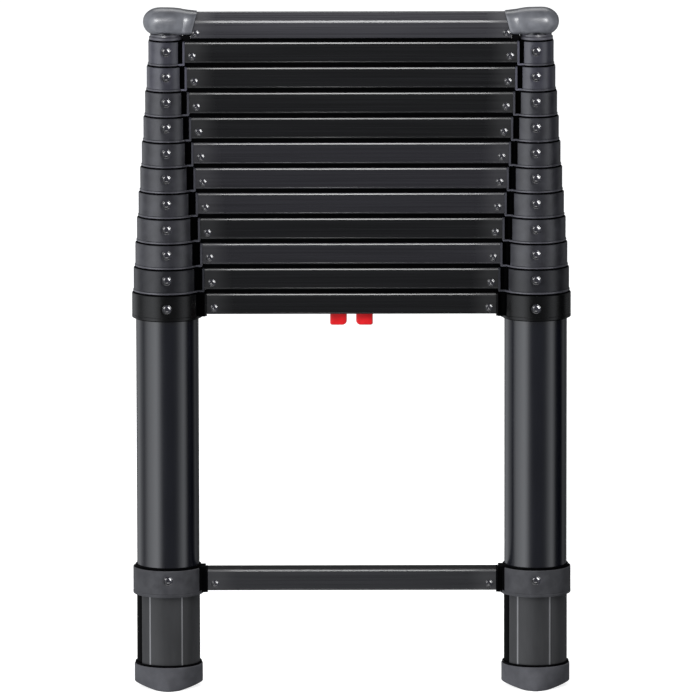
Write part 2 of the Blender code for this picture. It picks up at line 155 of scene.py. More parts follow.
# Legs: angles run anticlockwise from the right, seen from above
LEG_RIBS = (235.0, 296.0)
LEG_RIB_HALF_WIDTH = 2.2
LEG_RIB_STEPS = (0.0, 0.5, 1.0, 1.6, 2.2)
LEG_RIB_PROUD = 0.28 * MM
# A shallow groove between these angles, coloured near-black as painted shade.
LEG_SHADE_GROOVE = (184.0, 213.5)
LEG_SHADE_GROOVE_DEPTH = 0.25 * MM
LEG_SLEEVE_GAP = 0.05 * MM
LEG_SLEEVE_WALL = 0.35 * MM

# Feet
FOOT_RADIUS = 37.2 * MM
FOOT_NOSE = 42.0 * MM
FOOT_SQUARENESS = 1.4
FOOT_RIM_Z = 26.0 * MM
FOOT_FLOOR = 13.0 * MM
FOOT_BORE_GAP = 0.5 * MM
SOLE_HALF_WIDTH = 11.0 * MM
SOLE_LIFT = 4.6 * MM
SOLE_GROOVES = 3  # each side of the middle one
SOLE_GROOVE_PITCH = 9.0 * MM

# End caps and hand rail
CAP_HEIGHT = 34.2 * MM
CAP_BOTTOM = 4.0 * MM
CAP_OUTER_X = -25.0 * MM
CAP_NOSE = 16.5 * MM
CAP_INNER_LOW = 26.6 * MM
CAP_INNER_HIGH = 34.6 * MM
CAP_OVERLAP = 2.4 * MM
CAP_HALF_DEPTH = 20.0 * MM
CAP_BORE_TOP = 22.3 * MM
CAP_STATIONS = (  # x, half depth and drop of the top in mm, squareness, share of the lean
    (-6.0, 20.0, 0.0, 2.35, 0.05), (0.0, 20.0, 0.1, 2.4, 0.1), (6.0, 19.8, 0.3, 2.5, 0.2),
    (10.0, 19.3, 0.8, 2.6, 0.3), (13.0, 18.7, 1.4, 2.7, 0.42), (15.2, 18.0, 2.0, 2.8, 0.5),
    (16.6, 17.6, 2.4, 2.9, 0.58), (17.8, 18.1, 2.7, 3.0, 0.64), (20.0, 18.5, 3.1, 3.0, 0.78),
    (23.0, 18.1, 3.6, 3.1, 0.95), (25.7, 17.5, 3.9, 3.2, 1.0), (26.6, 16.7, 4.2, 3.3, 1.0),
)
CAP_RING = (  # radius and height in mm
    (17.4, 0.0), (18.3, 0.15), (18.5, 0.5), (18.5, 2.5), (18.1, 3.1), (17.3, 3.5), (17.1, 5.5),
)
CAP_RING_BORE_GAP = 0.1 * MM
CAP_TONGUE_START = 18.2 * MM
CAP_TONGUE_END = 45.0 * MM
CAP_BLOCK_END = 26.0 * MM
RAIL_END_HIGH = 31.2 * MM
RAIL_LOW = 2.4 * MM
RAIL_FOOT = 1.2 * MM
RAIL_EDGE = 5.0 * MM
RAIL_EDGE_DROP = 11.5 * MM
RAIL_SLOPE = 60.0
RAIL_TOP_EDGE = 3.0 * MM

# Releases, from the middle of the ladder
TRIGGER_INNER = 5.0 * MM
TRIGGER_OUTER = 23.2 * MM
TRIGGER_INNER_EDGE = 5.0 * MM
TRIGGER_OUTER_EDGE = 2.4 * MM
TRIGGER_RISE = 4.0 * MM
TRIGGER_EASE = ((8.0, 1.3), (7.9, 0.9), (7.4, 0.35), (6.7, 0.0))  # depth, drawn in, mm
GRIP_GROOVES = (2.6, 4.8, 7.0)  # above the bottom, mm
GRIP_START = 9.0 * MM
GRIP_END = 19.5 * MM
GRIP_DEPTH = 8.0 * MM
CARRIAGE_END = 40.0 * MM
SPRING_WIRE = 0.5 * MM
SPRING_TURNS = 9
SPRING_STEPS = 20
SPRING_SIDES = 8
PIN_TRAVEL = 4.3 * MM

# Tones: dark and light colour, least and most roughness, gloss
RUNG_TONE = ((0.0003, 0.0003, 0.0005), (0.0018, 0.0018, 0.0024), 0.22, 0.30, 0.42)
PALE_RUNG_TONE = ((0.0060, 0.0057, 0.0074), (0.0110, 0.0105, 0.0134), 0.22, 0.30, 0.48)
PALE_RUNGS = (2, 4, 5, 6)
COLLAR_TONES = {0: "base_collar", 1: "collar_deep", 9: "collar_pale", 10: "collar_pale"}
DULL_START = 30.0 * MM
DULL_END = 12.0 * MM
END_DULLNESS = 0.2
# Paler outer edges of the mouldings: partly wear, partly painted highlight.
WEAR_AND_SHEEN = 2.3

# Studio
FLOOR_HALF = 60.0
FLOOR_DROP = 0.2 * MM
FLOOR_GLOW = 0.8
CAMERA_DISTANCE = 12.0
CAMERA_HEIGHT = 2.33
CAMERA_TILT = 9.274
CAMERA_ROLL = -0.1
CAMERA_LENS = 575.5
CAMERA_SHIFT_X = -0.0022

# Radiance of the surroundings against azimuth, the same from the floor to well above the
# ladder: two tall soft boxes in front, the left one wider, dark flags beside them and dimmer
# walls behind.
SURROUND = (
    (-180, 0.05), (-169, 0.06), (-158, 0.28), (-140, 0.85), (-126, 1.10), (-112, 0.75),
    (-97, 0.38), (-86, 1.2), (-74, 2.1), (-58, 2.8), (-42, 3.5), (-33, 2.6), (-24, 0.9),
    (-17, 0.34), (-8, 0.26), (26, 0.26), (36, 0.4), (44, 0.9), (52, 1.4), (60, 2.0), (67, 1.6),
    (73, 0.7), (79, 0.03), (108, 0.0), (115, 0.2), (123, 0.5), (132, 0.18), (140, 0.1),
    (153, 0.22), (166, 0.05), (180, 0.04),
)
SURROUND_PEAK = 4.0
SURROUND_TINT = (0.94, 0.965, 1.0)
SURROUND_TOP = (0.45, 0.95)  # heights of a ray between which it dims to a quarter


# Mesh making


class Shell:
    """Vertices and faces of one or more closed surfaces, with a material slot for each face."""

    def __init__(self, points=(), faces=(), slots=()):
        self.points = list(points)
        self.faces = list(faces)
        self.slots = list(slots)

    def mapped(self, place):
        """A copy with every point put through a function."""
        return Shell([place(*point) for point in self.points], self.faces, self.slots)

    def moved(self, dx=0.0, dy=0.0, dz=0.0):
        return self.mapped(lambda x, y, z: (x + dx, y + dy, z + dz))

    def merged(self, other, slot=None):
        """Adds a shell, whose faces keep their slots unless one is given."""
        start = len(self.points)
        self.points += other.points
        self.faces += [tuple(start + i for i in face) for face in other.faces]
        self.slots += other.slots if slot is None else [slot] * len(other.slots)
        return self


def skin(rings, closed=False):
    """Quads through rings of equal length; the ends are capped, or joined when closed."""
    count = len(rings[0])
    points = [tuple(p) for ring in rings for p in ring]
    faces = []
    for r in range(len(rings) if closed else len(rings) - 1):
        a = r * count
        b = (r + 1) % len(rings) * count
        for i in range(count):
            j = (i + 1) % count
            faces.append((a + i, a + j, b + j, b + i))
    if not closed:
        faces.append(tuple(reversed(range(count))))
        faces.append(tuple(range(len(points) - count, len(points))))
    return Shell(points, faces, [0] * len(faces))


def turned(profile, segments, closed=False):
    """A surface of revolution about Z through (radius, height) steps."""
    turns = [math.tau * i / segments for i in range(segments)]
    rings = [[(r * math.cos(t), r * math.sin(t), z) for t in turns] for r, z in profile]
    return skin(rings, closed)


def polar(radius, degrees, height):
    turn = math.radians(degrees)
    return (radius * math.cos(turn), radius * math.sin(turn), height)


def arc(centre, radius, start, end, steps):
    points = []
    for i in range(steps + 1):
        x, y, _ = polar(radius, start + (end - start) * i / steps, 0.0)
        points.append((centre[0] + x, centre[1] + y))
    return points


def rounded(half, low, high, low_radius, high_radius, steps=5):
    """A rounded rectangle centred sideways, from its lower right corner anticlockwise."""
    points = arc((half - low_radius, low + low_radius), low_radius, -90, 0, steps)
    points += arc((half - high_radius, high - high_radius), high_radius, 0, 90, steps)
    points += arc((high_radius - half, high - high_radius), high_radius, 90, 180, steps)
    points += arc((low_radius - half, low + low_radius), low_radius, 180, 270, steps)
    return points


def shrunk(outline, amount):
    """An outline drawn in towards its middle by about the same amount all round."""
    if not amount:
        return outline
    xs = [x for x, _ in outline]
    ys = [y for _, y in outline]
    cx, cy = (min(xs) + max(xs)) / 2, (min(ys) + max(ys)) / 2
    sx = 1 - amount * 2 / (max(xs) - min(xs))
    sy = 1 - amount * 2 / (max(ys) - min(ys))
    return [(cx + (x - cx) * sx, cy + (y - cy) * sy) for x, y in outline]


def divided(outline, longest):
    """An outline with points added along its long sides."""
    points = []
    for i, (x, y) in enumerate(outline):
        end_x, end_y = outline[(i + 1) % len(outline)]
        parts = max(1, math.ceil(math.hypot(end_x - x, end_y - y) / longest))
        for k in range(parts):
            points.append((x + (end_x - x) * k / parts, y + (end_y - y) * k / parts))
    return points


def block(outline, low, high, along, edge=0.3 * MM):
    """An outline swept along one axis, with both its end edges eased."""
    place = {
        "X": lambda u, v, w: (w, u, v),
        "Y": lambda u, v, w: (u, w, v),
        "Z": lambda u, v, w: (u, v, w),
    }[along]
    rings = []
    for w, inset in ((low, edge), (low + edge, 0.0), (high - edge, 0.0), (high, edge)):
        rings.append([place(u, v, w) for u, v in shrunk(outline, inset)])
    return skin(rings)


def paint(shell, slot, test):
    """Gives a slot to the faces whose middle passes a test."""
    for i, face in enumerate(shell.faces):
        corners = [shell.points[p] for p in face]
        middle = [sum(c[axis] for c in corners) / len(corners) for axis in range(3)]
        if test(*middle):
            shell.slots[i] = slot
    return shell


def smooth_step(value, low, high):
    t = max(0.0, min(1.0, (value - low) / (high - low)))
    return t * t * (3 - 2 * t)


def make(name, shell, looks, sharp=32):
    """An object from a shell; its faces are turned outwards."""
    mesh = bpy.data.meshes.new(name)
    mesh.from_pydata(shell.points, [], shell.faces)
    for look in looks:
        mesh.materials.append(look)
    mesh.polygons.foreach_set("material_index", shell.slots)
    work = bmesh.new()
    work.from_mesh(mesh)
    bmesh.ops.recalc_face_normals(work, faces=work.faces)
    work.to_mesh(mesh)
    work.free()
    mesh.shade_smooth()
    mesh.set_sharp_from_angle(angle=math.radians(sharp))
    obj = bpy.data.objects.new(name, mesh)
    bpy.context.scene.collection.objects.link(obj)
    return obj


def cut(obj, shell):
    """Takes a solid out of an object for good."""
    tool = make(obj.name + "_cutter", shell, [])
    boolean = obj.modifiers.new("cut", "BOOLEAN")
    boolean.operation = "DIFFERENCE"
    boolean.solver = "EXACT"
    boolean.object = tool
    graph = bpy.context.evaluated_depsgraph_get()
    result = bpy.data.meshes.new_from_object(obj.evaluated_get(graph))
    obj.modifiers.remove(boolean)
    old = obj.data
    obj.data = result
    bpy.data.meshes.remove(old)
    bpy.data.objects.remove(tool)


def piece(name, shell, looks, body, replaced=(), sharp=32):
    """A piece of the ladder that rides on a body and stands in for the CAD nodes it replaces."""
    obj = make(name, shell, [LOOKS[look] for look in looks], sharp)
    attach(obj, body)
    if replaced:
        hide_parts(*replaced)
    return obj


# Sizes read from the frame


def body_of(section):
    return "base" if section == 0 else f"section_{section:02d}"


def rung_name(section):
    if section == 0:
        return "base_rung"
    return "top_rung" if section == TOP else f"section_{section:02d}_rung"


foot_low, foot_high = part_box("foot_left")
STILE_X = -(foot_low.x + foot_high.x) / 2
PITCH = (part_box("section_10_rung")[1].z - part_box("base_rung")[1].z) / 10
FIRST_COLLAR_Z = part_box("base_collar_left")[1].z - COLLAR_HEIGHT
LOWER_COLLAR_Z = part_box("lower_collar_left")[1].z - LOWER_COLLAR_HEIGHT
RUNG_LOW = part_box("base_rung")[0].z - FIRST_COLLAR_Z
RUNG_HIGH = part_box("base_rung")[1].z - FIRST_COLLAR_Z
RUNG_HALF_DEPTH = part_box("base_rung")[1].y
BASE_TUBE_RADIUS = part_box("base_tube_left")[1].y
TOP_TUBE_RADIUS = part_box("top_tube_left")[1].y
PIN_HEIGHT = sum(corner.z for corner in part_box("lock_pin_left")) / 2 - FIRST_COLLAR_Z


def tube_radius(section):
    return BASE_TUBE_RADIUS + (TOP_TUBE_RADIUS - BASE_TUBE_RADIUS) * section / TOP


def rung_end(section):
    return STILE_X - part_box(rung_name(section))[1].x


def collar_wall(section):
    """Collar walls thin out towards the top."""
    return COLLAR_WALL - COLLAR_WALL_STEP * section


def collar_z(section):
    return FIRST_COLLAR_Z + section * PITCH


def on_side(shell, sign, height):
    """Sets a shell modelled about a stile's axis on the left stile, or mirrored on the right."""
    return shell.mapped(lambda x, y, z: (sign * (STILE_X - x), y, z + height))


# Materials


def fill(tree, node, values):
    """Sets a node's inputs, and links those whose value is another node's output."""
    for key, value in values.items():
        if isinstance(value, bpy.types.NodeSocket):
            tree.links.new(value, node.inputs[key])
        else:
            node.inputs[key].default_value = value
    return node


def add_node(tree, kind, values=None, **settings):
    node = tree.nodes.new("ShaderNode" + kind)
    for key, value in settings.items():
        setattr(node, key, value)
    return fill(tree, node, values or {})


def map_range(tree, value, low, high, out_low=0.0, out_high=1.0, kind="LINEAR"):
    values = {"From Min": low, "From Max": high, "To Min": out_low, "To Max": out_high}
    node = add_node(tree, "MapRange", {**values, "Value": value}, interpolation_type=kind)
    return node.outputs["Result"]


class Look:
    """A Principled material with helpers for its pattern nodes."""

    def __init__(self, name, roughness, metallic=0.0, ior=1.5, gloss=0.5):
        self.made = bpy.data.materials.new(name)
        self.made.use_nodes = True
        self.tree = self.made.node_tree
        self.give({"Roughness": roughness, "Metallic": metallic})
        self.give({"IOR": ior, "Specular IOR Level": gloss})
        self.place = add_node(self.tree, "TexCoord").outputs["Object"]

    def give(self, values):
        """Sets or links inputs of the material's shader."""
        fill(self.tree, self.tree.nodes["Principled BSDF"], values)

    def noise(self, scale, detail=3.0, stretch=(1, 1, 1)):
        place = add_node(self.tree, "Mapping", {"Scale": stretch, "Vector": self.place})
        values = {"Scale": scale, "Detail": detail, "Vector": place.outputs["Vector"]}
        return add_node(self.tree, "TexNoise", values).outputs["Fac"]

    def ramp(self, value, low, high, out_low=0.0, out_high=1.0):
        return map_range(self.tree, value, low, high, out_low, out_high)

    def mix(self, factor, first, second):
        """A colour between two; each is a colour or a socket."""
        ends = [(*end, 1.0) if isinstance(end, tuple) else end for end in (first, second)]
        values = {"Factor": factor, 6: ends[0], 7: ends[1]}
        return add_node(self.tree, "Mix", values, data_type="RGBA").outputs[2]

    def add(self, first, second, weight):
        """First plus second times a weight, of two heights."""
        values = {0: second, 1: weight, 2: first}
        return add_node(self.tree, "Math", values, operation="MULTIPLY_ADD").outputs[0]

    def near_ends(self, half_length):
        """0 along the middle of a rung and 1 close to both of its ends."""
        split = add_node(self.tree, "SeparateXYZ", {0: self.place})
        away = add_node(self.tree, "Math", {0: split.outputs["X"]}, operation="ABSOLUTE")
        return self.ramp(away.outputs[0], half_length - DULL_START, half_length - DULL_END)

    def edges(self, low, high):
        """0 on flat surfaces and 1 on sharp outer edges, by pointiness."""
        geometry = add_node(self.tree, "NewGeometry")
        return self.ramp(geometry.outputs["Pointiness"], low, high)

    def colour(self, socket):
        self.give({"Base Color": socket})

    def rough(self, socket):
        self.give({"Roughness": socket})

    def bump(self, socket, distance):
        values = {"Strength": 1.0, "Distance": distance, "Height": socket}
        self.give({"Normal": add_node(self.tree, "Bump", values).outputs["Normal"]})


def tube_look(name, dark, light, rough_low, rough_high, gloss=0.5):
    """Lacquered aluminium tube: drawing lines along it and faint rub marks."""
    look = Look(name, rough_low, ior=1.55, gloss=gloss)
    lines = look.noise(1.0, 2.0, (900, 900, 6))
    rubs = look.noise(1.0, 4.0, (60, 60, 14))
    look.colour(look.mix(look.ramp(rubs, 0.35, 0.7), dark, light))
    look.rough(look.ramp(look.add(lines, rubs, 0.8), 0.55, 1.25, rough_low, rough_high))
    look.bump(look.noise(1.0, 2.0, (1400, 1400, 10)), 0.012 * MM)
    return look.made


def moulding_look(name, dark, light, rough_low, rough_high, gloss=0.5, grain=0.04):
    """Moulded nylon: fine spark-eroded grain, cloudy tone and paler edges, partly wear and partly
    painted highlight.
    """
    look = Look(name, rough_low, gloss=gloss)
    clouds = look.noise(90.0, 4.0)
    base = look.mix(look.ramp(clouds, 0.35, 0.68), dark, light)
    # Paler edges, partly wear and partly painted highlight.
    worn_and_sheen = tuple(WEAR_AND_SHEEN * c for c in light)
    look.colour(look.mix(look.edges(0.53, 0.62), base, worn_and_sheen))
    fine = look.noise(1.0, 2.0, (2600, 2600, 3800))
    look.rough(look.ramp(look.add(fine, clouds, 0.6), 0.5, 1.05, rough_low, rough_high))
    look.bump(fine, grain * MM)
    return look.made


def rung_look(name, dark, light, rough_low, rough_high, gloss=0.5, half_length=None):
    """Anodised extrusion: long streaks along X, a slow change of tone and duller crimped ends."""
    look = Look(name, rough_low, gloss=gloss)
    streaks = look.noise(1.0, 3.0, (5, 700, 700))
    tone = look.noise(1.0, 2.0, (3, 20, 36))
    shade = look.add(streaks, tone, 1.2)
    look.colour(look.mix(look.ramp(shade, 0.75, 1.5), dark, light))
    rough = look.ramp(streaks, 0.3, 0.7, rough_low, rough_high)
    if half_length:
        rough = look.add(rough, look.near_ends(half_length), END_DULLNESS)
    look.rough(rough)
    look.bump(look.noise(1.0, 2.0, (12, 2200, 2200)), 0.006 * MM)
    return look.made


def rivet_look():
    look = Look("rivet_black", 0.1, ior=1.3)
    spots = look.noise(1500.0, 2.0)
    look.colour(look.mix(spots, (0.0012, 0.0012, 0.0016), (0.004, 0.004, 0.005)))
    look.rough(look.ramp(spots, 0.3, 0.7, 0.08, 0.15))
    look.bump(look.noise(2400.0, 2.0), 0.01 * MM)
    return look.made


def rubber_look():
    look = Look("boot_rubber", 0.6, gloss=0.2)
    clouds = look.ramp(look.noise(70.0, 5.0), 0.35, 0.7)
    base = look.mix(clouds, (0.045, 0.045, 0.050), (0.064, 0.064, 0.071))
    look.colour(look.mix(look.edges(0.54, 0.64), base, (0.07, 0.07, 0.075)))
    fine = look.noise(1900.0, 3.0)
    look.rough(look.ramp(fine, 0.3, 0.7, 0.52, 0.72))
    look.bump(fine, 0.07 * MM)
    return look.made


def red_look():
    look = Look("release_red", 0.3, gloss=0.35)
    clouds = look.ramp(look.noise(160.0, 3.0), 0.35, 0.7)
    look.colour(look.mix(clouds, (0.50, 0.005, 0.008), (0.62, 0.009, 0.013)))
    fine = look.noise(2600.0, 2.0)
    look.rough(look.ramp(fine, 0.3, 0.7, 0.26, 0.38))
    look.bump(fine, 0.02 * MM)
    return look.made


def steel_look():
    look = Look("pin_steel", 0.25, metallic=1.0)
    turns = look.noise(1.0, 2.0, (3000, 60, 60))
    look.colour(look.mix(turns, (0.42, 0.43, 0.45), (0.62, 0.63, 0.65)))
    look.rough(look.ramp(turns, 0.3, 0.7, 0.2, 0.36))
    look.bump(turns, 0.01 * MM)
    return look.made


# Each row: key, name, dark, light, least and most roughness, then gloss and half length if any.
TUBE_ROWS = (
    ("tube", "tube_lacquer", (0.0006, 0.0009, 0.0030), (0.0014, 0.0018, 0.0042), 0.19, 0.25),
    ("leg", "leg_satin", (0.025, 0.025, 0.026), (0.034, 0.034, 0.0355), 0.36, 0.46, 0.12),
    # Paler than the leg: painted highlight along the ribs.
    ("rib", "rib_satin", (0.085, 0.085, 0.088), (0.12, 0.12, 0.125), 0.3, 0.4),
    ("stile", "inner_tube_anodised", (0.0040, 0.0045, 0.0070), (0.008, 0.0085, 0.011), 0.16, 0.26),
)
MOULDING_ROWS = (
    ("collar", "collar_nylon", (0.020, 0.0197, 0.0238), (0.035, 0.0345, 0.0410), 0.28, 0.37, 0.42),
    ("collar_pale", "collar_nylon_pale", (0.036, 0.0354, 0.0462), (0.056, 0.0550, 0.0690),
     0.26, 0.35, 0.46),
    ("collar_deep", "collar_nylon_deep", (0.009, 0.009, 0.0112), (0.017, 0.017, 0.0204),
     0.28, 0.37, 0.3),
    ("base_collar", "base_collar_nylon", (0.0008, 0.0008, 0.0009), (0.0020, 0.0020, 0.0022),
     0.22, 0.30, 0.22),
    ("lower_collar", "lower_collar_nylon", (0.029, 0.029, 0.032), (0.043, 0.043, 0.047),
     0.42, 0.54, 0.15),
    ("cap", "cap_nylon", (0.054, 0.0555, 0.0625), (0.084, 0.0865, 0.0960), 0.29, 0.37, 0.5, 0.05),
    # Near-black with almost no gloss: painted shade, used on the collar recesses and top faces,
    # necks, web ribs, drip edges, keels, cap tongues and the dark rings where tubes enter.
    ("recess", "recess_nylon", (0.0002, 0.0002, 0.0003), (0.0006, 0.0006, 0.0007),
     0.55, 0.65, 0.015),
    # Paler than the collars: painted highlight along the lip bead.
    ("lip", "lip_nylon", (0.050, 0.049, 0.058), (0.078, 0.076, 0.088), 0.26, 0.34),
    ("inside", "inner_nylon", (0.006, 0.006, 0.007), (0.014, 0.014, 0.015), 0.4, 0.55),
)
RUNG_ROWS = (
    ("tread", "tread_anodised", (0.003, 0.003, 0.0034), (0.007, 0.007, 0.0078), 0.46, 0.56, 0.1),
    ("top_rung", "rail_anodised", (0.014, 0.0136, 0.0165), (0.027, 0.0264, 0.0305),
     0.24, 0.32, 0.5, 0.176),
    ("lower_rung", "lower_rung_anodised", (0.010, 0.010, 0.0112), (0.018, 0.018, 0.020),
     0.26, 0.34, 0.5, 0.156),
)
LOOKS = {key: tube_look(*row) for key, *row in TUBE_ROWS}
LOOKS.update({key: moulding_look(*row) for key, *row in MOULDING_ROWS})
LOOKS.update({key: rung_look(*row) for key, *row in RUNG_ROWS})
LOOKS.update(rivet=rivet_look(), rubber=rubber_look(), red=red_look(), steel=steel_look())


# Stile pieces, about the stile's axis with the rung towards +X


def spaced(angles, least):
    """Sorted angles without those that follow another too closely."""
    kept = []
    for angle in sorted(angles):
        if not kept or angle - kept[-1] > least:
            kept.append(angle)
    return kept


def ring_angles(radius, recess):
    """Angles round a collar, closer together at the recess edges and round the front rivet."""
    angles = {round(i * 4.0 - 180, 3) for i in range(90)}
    for edge in (-recess, recess):
        for step in (-1.5, -0.75, 0.0, 0.75, 1.5, 2.5):
            angles.add(round(edge + math.copysign(step, step * edge if step else 1), 3))
    span = math.degrees(DISH_RADIUS / radius) * 1.1
    for i in range(-10, 11):
        angles.add(round(-90 + span * i / 10, 3))
    return spaced(angles, 0.5)


def collar_levels(height, lip, skirt):
    """Heights up a collar's ring and how far each stands proud of its wall."""
    levels = []
    for i in range(9):
        turn = math.pi * i / 8
        bead = max(math.sin(turn), 0.0) ** LIP_FULLNESS
        z = -skirt + (LIP_HEIGHT + skirt) * (1 - math.cos(turn)) / 2
        levels.append((z, -LIP_ROOT + (lip + LIP_ROOT) * bead))
    levels += [(LIP_HEIGHT + 0.12 * MM, -0.2 * MM), (LIP_HEIGHT + LIP_STEP, 0.0)]
    span = height - 1.2 * MM - (LIP_HEIGHT + LIP_STEP)
    for i in range(1, 15):
        levels.append((LIP_HEIGHT + LIP_STEP + span * i / 14, 0.0))
    return levels + [(height - drop * MM, -inset * MM) for drop, inset in COLLAR_EASE]


def collar_ring(tube, reach, height, rivet_z, recess, lip, skirt, wall=COLLAR_WALL):
    """A collar's ring: lip at the bottom, eased top, thin beside the rung, dished at its rivet."""
    thick = tube + wall
    thin = tube + RECESS_WALL
    flat = reach - FIT_GAP
    angles = ring_angles(thick, recess)
    rings = []
    for z, proud in collar_levels(height, lip, skirt):
        above_lip = smooth_step(z, LIP_HEIGHT - 0.1 * MM, LIP_HEIGHT + 0.5 * MM)
        ring = []
        for angle in angles:
            beside = 1 - smooth_step(abs(angle), recess - RECESS_BLEND, recess + RECESS_BLEND)
            radius = thick + proud - (thick - thin) * beside * above_lip
            radius = max(radius, tube + COLLAR_LEAST_WALL)
            turn = math.radians(angle)
            away = math.hypot((turn + math.pi / 2) * thick, z - rivet_z)
            radius -= DISH_DEPTH * (1 - smooth_step(away, 0.72 * DISH_RADIUS, DISH_RADIUS))
            if abs(angle) < 80:
                radius = min(radius, flat / math.cos(turn))
            ring.append(polar(radius, angle, z))
        rings.append(ring)
    bore = tube + COLLAR_BORE_GAP
    low = -skirt
    lead, ease = 0.25 * MM, 0.3 * MM
    for z, extra in ((height, lead), (height - ease, 0.0), (low + ease, 0.0), (low, lead)):
        rings.append([polar(bore + extra, angle, z) for angle in angles])

    # The thin ring beside the rung and the eased top take slot 1, near-black as painted shade.
    def in_painted_shade(x, y, z):
        beside_rung = abs(math.degrees(math.atan2(y, x))) < recess - 0.6
        return beside_rung and z > LIP_HEIGHT + 0.2 * MM or z > height - 0.1 * MM

    # The bead of the lip takes slot 2, the paler lip colour, as a painted highlight.
    def on_lip_highlight(x, y, z):
        return z < LIP_HEIGHT and math.hypot(x, y) > thick

    return paint(paint(skin(rings, closed=True), 2, on_lip_highlight), 1, in_painted_shade)


def flange_outline(high):
    """The plate that a rung butts against, seen along the rung."""
    half = RUNG_HALF_DEPTH + 0.15 * MM
    return rounded(half, FLANGE_LOW, high + 0.1 * MM, 0.5 * MM, 2.6 * MM)


def bored(outline, height, near, far, edge=0.0):
    """A block along X with a bore for the lock pin; near gives where it starts at a depth."""
    outline = divided(outline, 1.8 * MM)
    eased = shrunk(outline, edge)
    bore = []
    for y, z in outline:
        away = math.hypot(y, z - height)
        share = LOCK_HOLE_RADIUS / away
        bore.append((share * y, height + share * (z - height)))
    rings = [[(near(y), y, z) for y, z in eased]]
    if edge:
        rings.append([(near(y) + edge, y, z) for y, z in outline])
        rings.append([(far - edge, y, z) for y, z in outline])
    rings.append([(far, y, z) for y, z in eased])
    rings.append([(far, y, z) for y, z in bore])
    rings.append([(near(y), y, z) for y, z in bore])
    return skin(rings, closed=True)


def base_collar_web(tube, reach, high, top):
    """The base collar's neck and flange, bored for the lock pin."""
    half = NECK_HALF_DEPTH
    neck = [(-half, 0.0), (half, 0.0), (half, top), (-half, top)]
    wall = tube + WEB_GAP
    web = Shell()
    # The neck takes slot 1, near-black as painted shade.
    web.merged(bored(neck, PIN_HEIGHT, lambda y: math.sqrt(wall ** 2 - y ** 2), reach), 1)
    start = reach - 0.2 * MM
    end = reach + FLANGE_THICKNESS
    return web.merged(bored(flange_outline(high), PIN_HEIGHT, lambda y: start, end, 0.35 * MM))


def round_tube(tube, half_depth):
    """The side of a web or plate that follows the tube's wall, from back to front."""
    radius = tube + WEB_GAP
    turn = math.degrees(math.asin(half_depth / radius))
    return arc((0.0, 0.0), radius, turn, -turn, 12)


def collar_web(tube, reach, high, top, flange=0):
    """The neck from a ring to its rung, the flange that the rung butts against, and their ribs."""
    half = NECK_HALF_DEPTH
    neck = [(reach, -half), (reach, half)] + round_tube(tube, half)
    web = Shell()
    # The neck goes into slot 1, near-black as painted shade.
    web.merged(block(neck, 0.0, top, "Z"), 1)
    start = reach - 0.2 * MM
    plate = block(flange_outline(high), start, reach + FLANGE_THICKNESS, "X", 0.35 * MM)
    # The flange takes the slot given; slot 1 makes it near-black painted shade.
    web.merged(plate, flange)
    if reach - tube > 2.6 * MM:
        rib = rounded(1.2 * MM, RUNG_LOW + 0.6 * MM, high - 0.6 * MM, 0.4 * MM, 0.4 * MM, 2)
        ridge = block(rib, -0.35 * MM, 0.35 * MM, "X", 0.15 * MM)
        gap_middle = (tube + RECESS_WALL + reach) / 2
        for y in (-half - 0.4 * MM, half + 0.4 * MM):
            # The ribs take slot 1, near-black as painted shade.
            web.merged(ridge.moved(gap_middle, y, 0.0), 1)
    return web


def lip_plate(tube, reach):
    """The collar's lip carried out under the recess, with a drip edge behind the neck below."""
    half = min(RUNG_HALF_DEPTH, 0.86 * (tube + COLLAR_WALL))
    end = reach + FLANGE_THICKNESS - 0.3 * MM
    outline = [(end - 0.8 * MM, -half), (end, -half + 0.8 * MM)]
    outline += [(end, half - 0.8 * MM), (end - 0.8 * MM, half)] + round_tube(tube, half)
    plate = block(outline, 0.1 * MM, LIP_HEIGHT, "Z")
    below = tube_radius(0) - tube_radius(1) + tube + RECESS_WALL
    start = math.sqrt(max(0.0, below ** 2 - DRIP_START ** 2)) + 0.8 * MM
    far = end + KEEL_END_GAP
    drip = [(start, DRIP_START), (far, DRIP_START), (far, DRIP_END), (start, DRIP_END)]
    # The drip edge takes slot 1, near-black as painted shade.
    return plate.merged(block(drip, DRIP_LOW, 1.6 * MM, "Z", 0.2 * MM), 1)


def tube_shell(radius, low, high):
    inner = radius - TUBE_WALL
    profile = [(radius - TUBE_EASE, low), (radius, low + TUBE_EASE)]
    profile += [(radius, high - TUBE_EASE), (radius - TUBE_EASE, high)]
    profile += [(inner + TUBE_EASE, high), (inner, high - TUBE_EASE)]
    profile += [(inner, low + TUBE_EASE), (inner + TUBE_EASE, low)]
    return turned(profile, TUBE_SEGMENTS, closed=True)


def shade_seal_ring(tube, low, high, wall=SHADE_SEAL_WALL):
    """A near-black ring that a tube passes through, just proud of it: painted shade where the tube
    enters.
    """
    inner = tube + 0.1 * MM
    outer = tube + wall
    profile = [(inner, low), (outer - 0.2 * MM, low), (outer, low + 0.3 * MM)]
    profile += [(outer - 0.1 * MM, high - 0.3 * MM), (outer - 0.5 * MM, high), (inner, high)]
    return turned(profile, TUBE_SEGMENTS, closed=True)


def dome_rivet(radius, height, dimple=0.0):
    """A rivet head on a thin flange, pointing along +Z; a dimple sinks its crown."""
    profile = [(radius * share, z * MM) for share, z in RIVET_FLANGE]
    for i in range(1, 10):
        angle = math.radians(90 * i / 10)
        rise = (height - RIVET_SEAT) * math.sin(angle)
        profile.append((radius * math.cos(angle), RIVET_SEAT + rise))
    if dimple:
        profile = [(r, z) for r, z in profile if r > dimple * 1.15]
        rim = profile[-1][1]
        profile += [(dimple * share, rim + z * MM) for share, z in DIMPLE]
        height = rim - DIMPLE_DEPTH
    return turned(profile + [(RIVET_POINT, height)], 32)


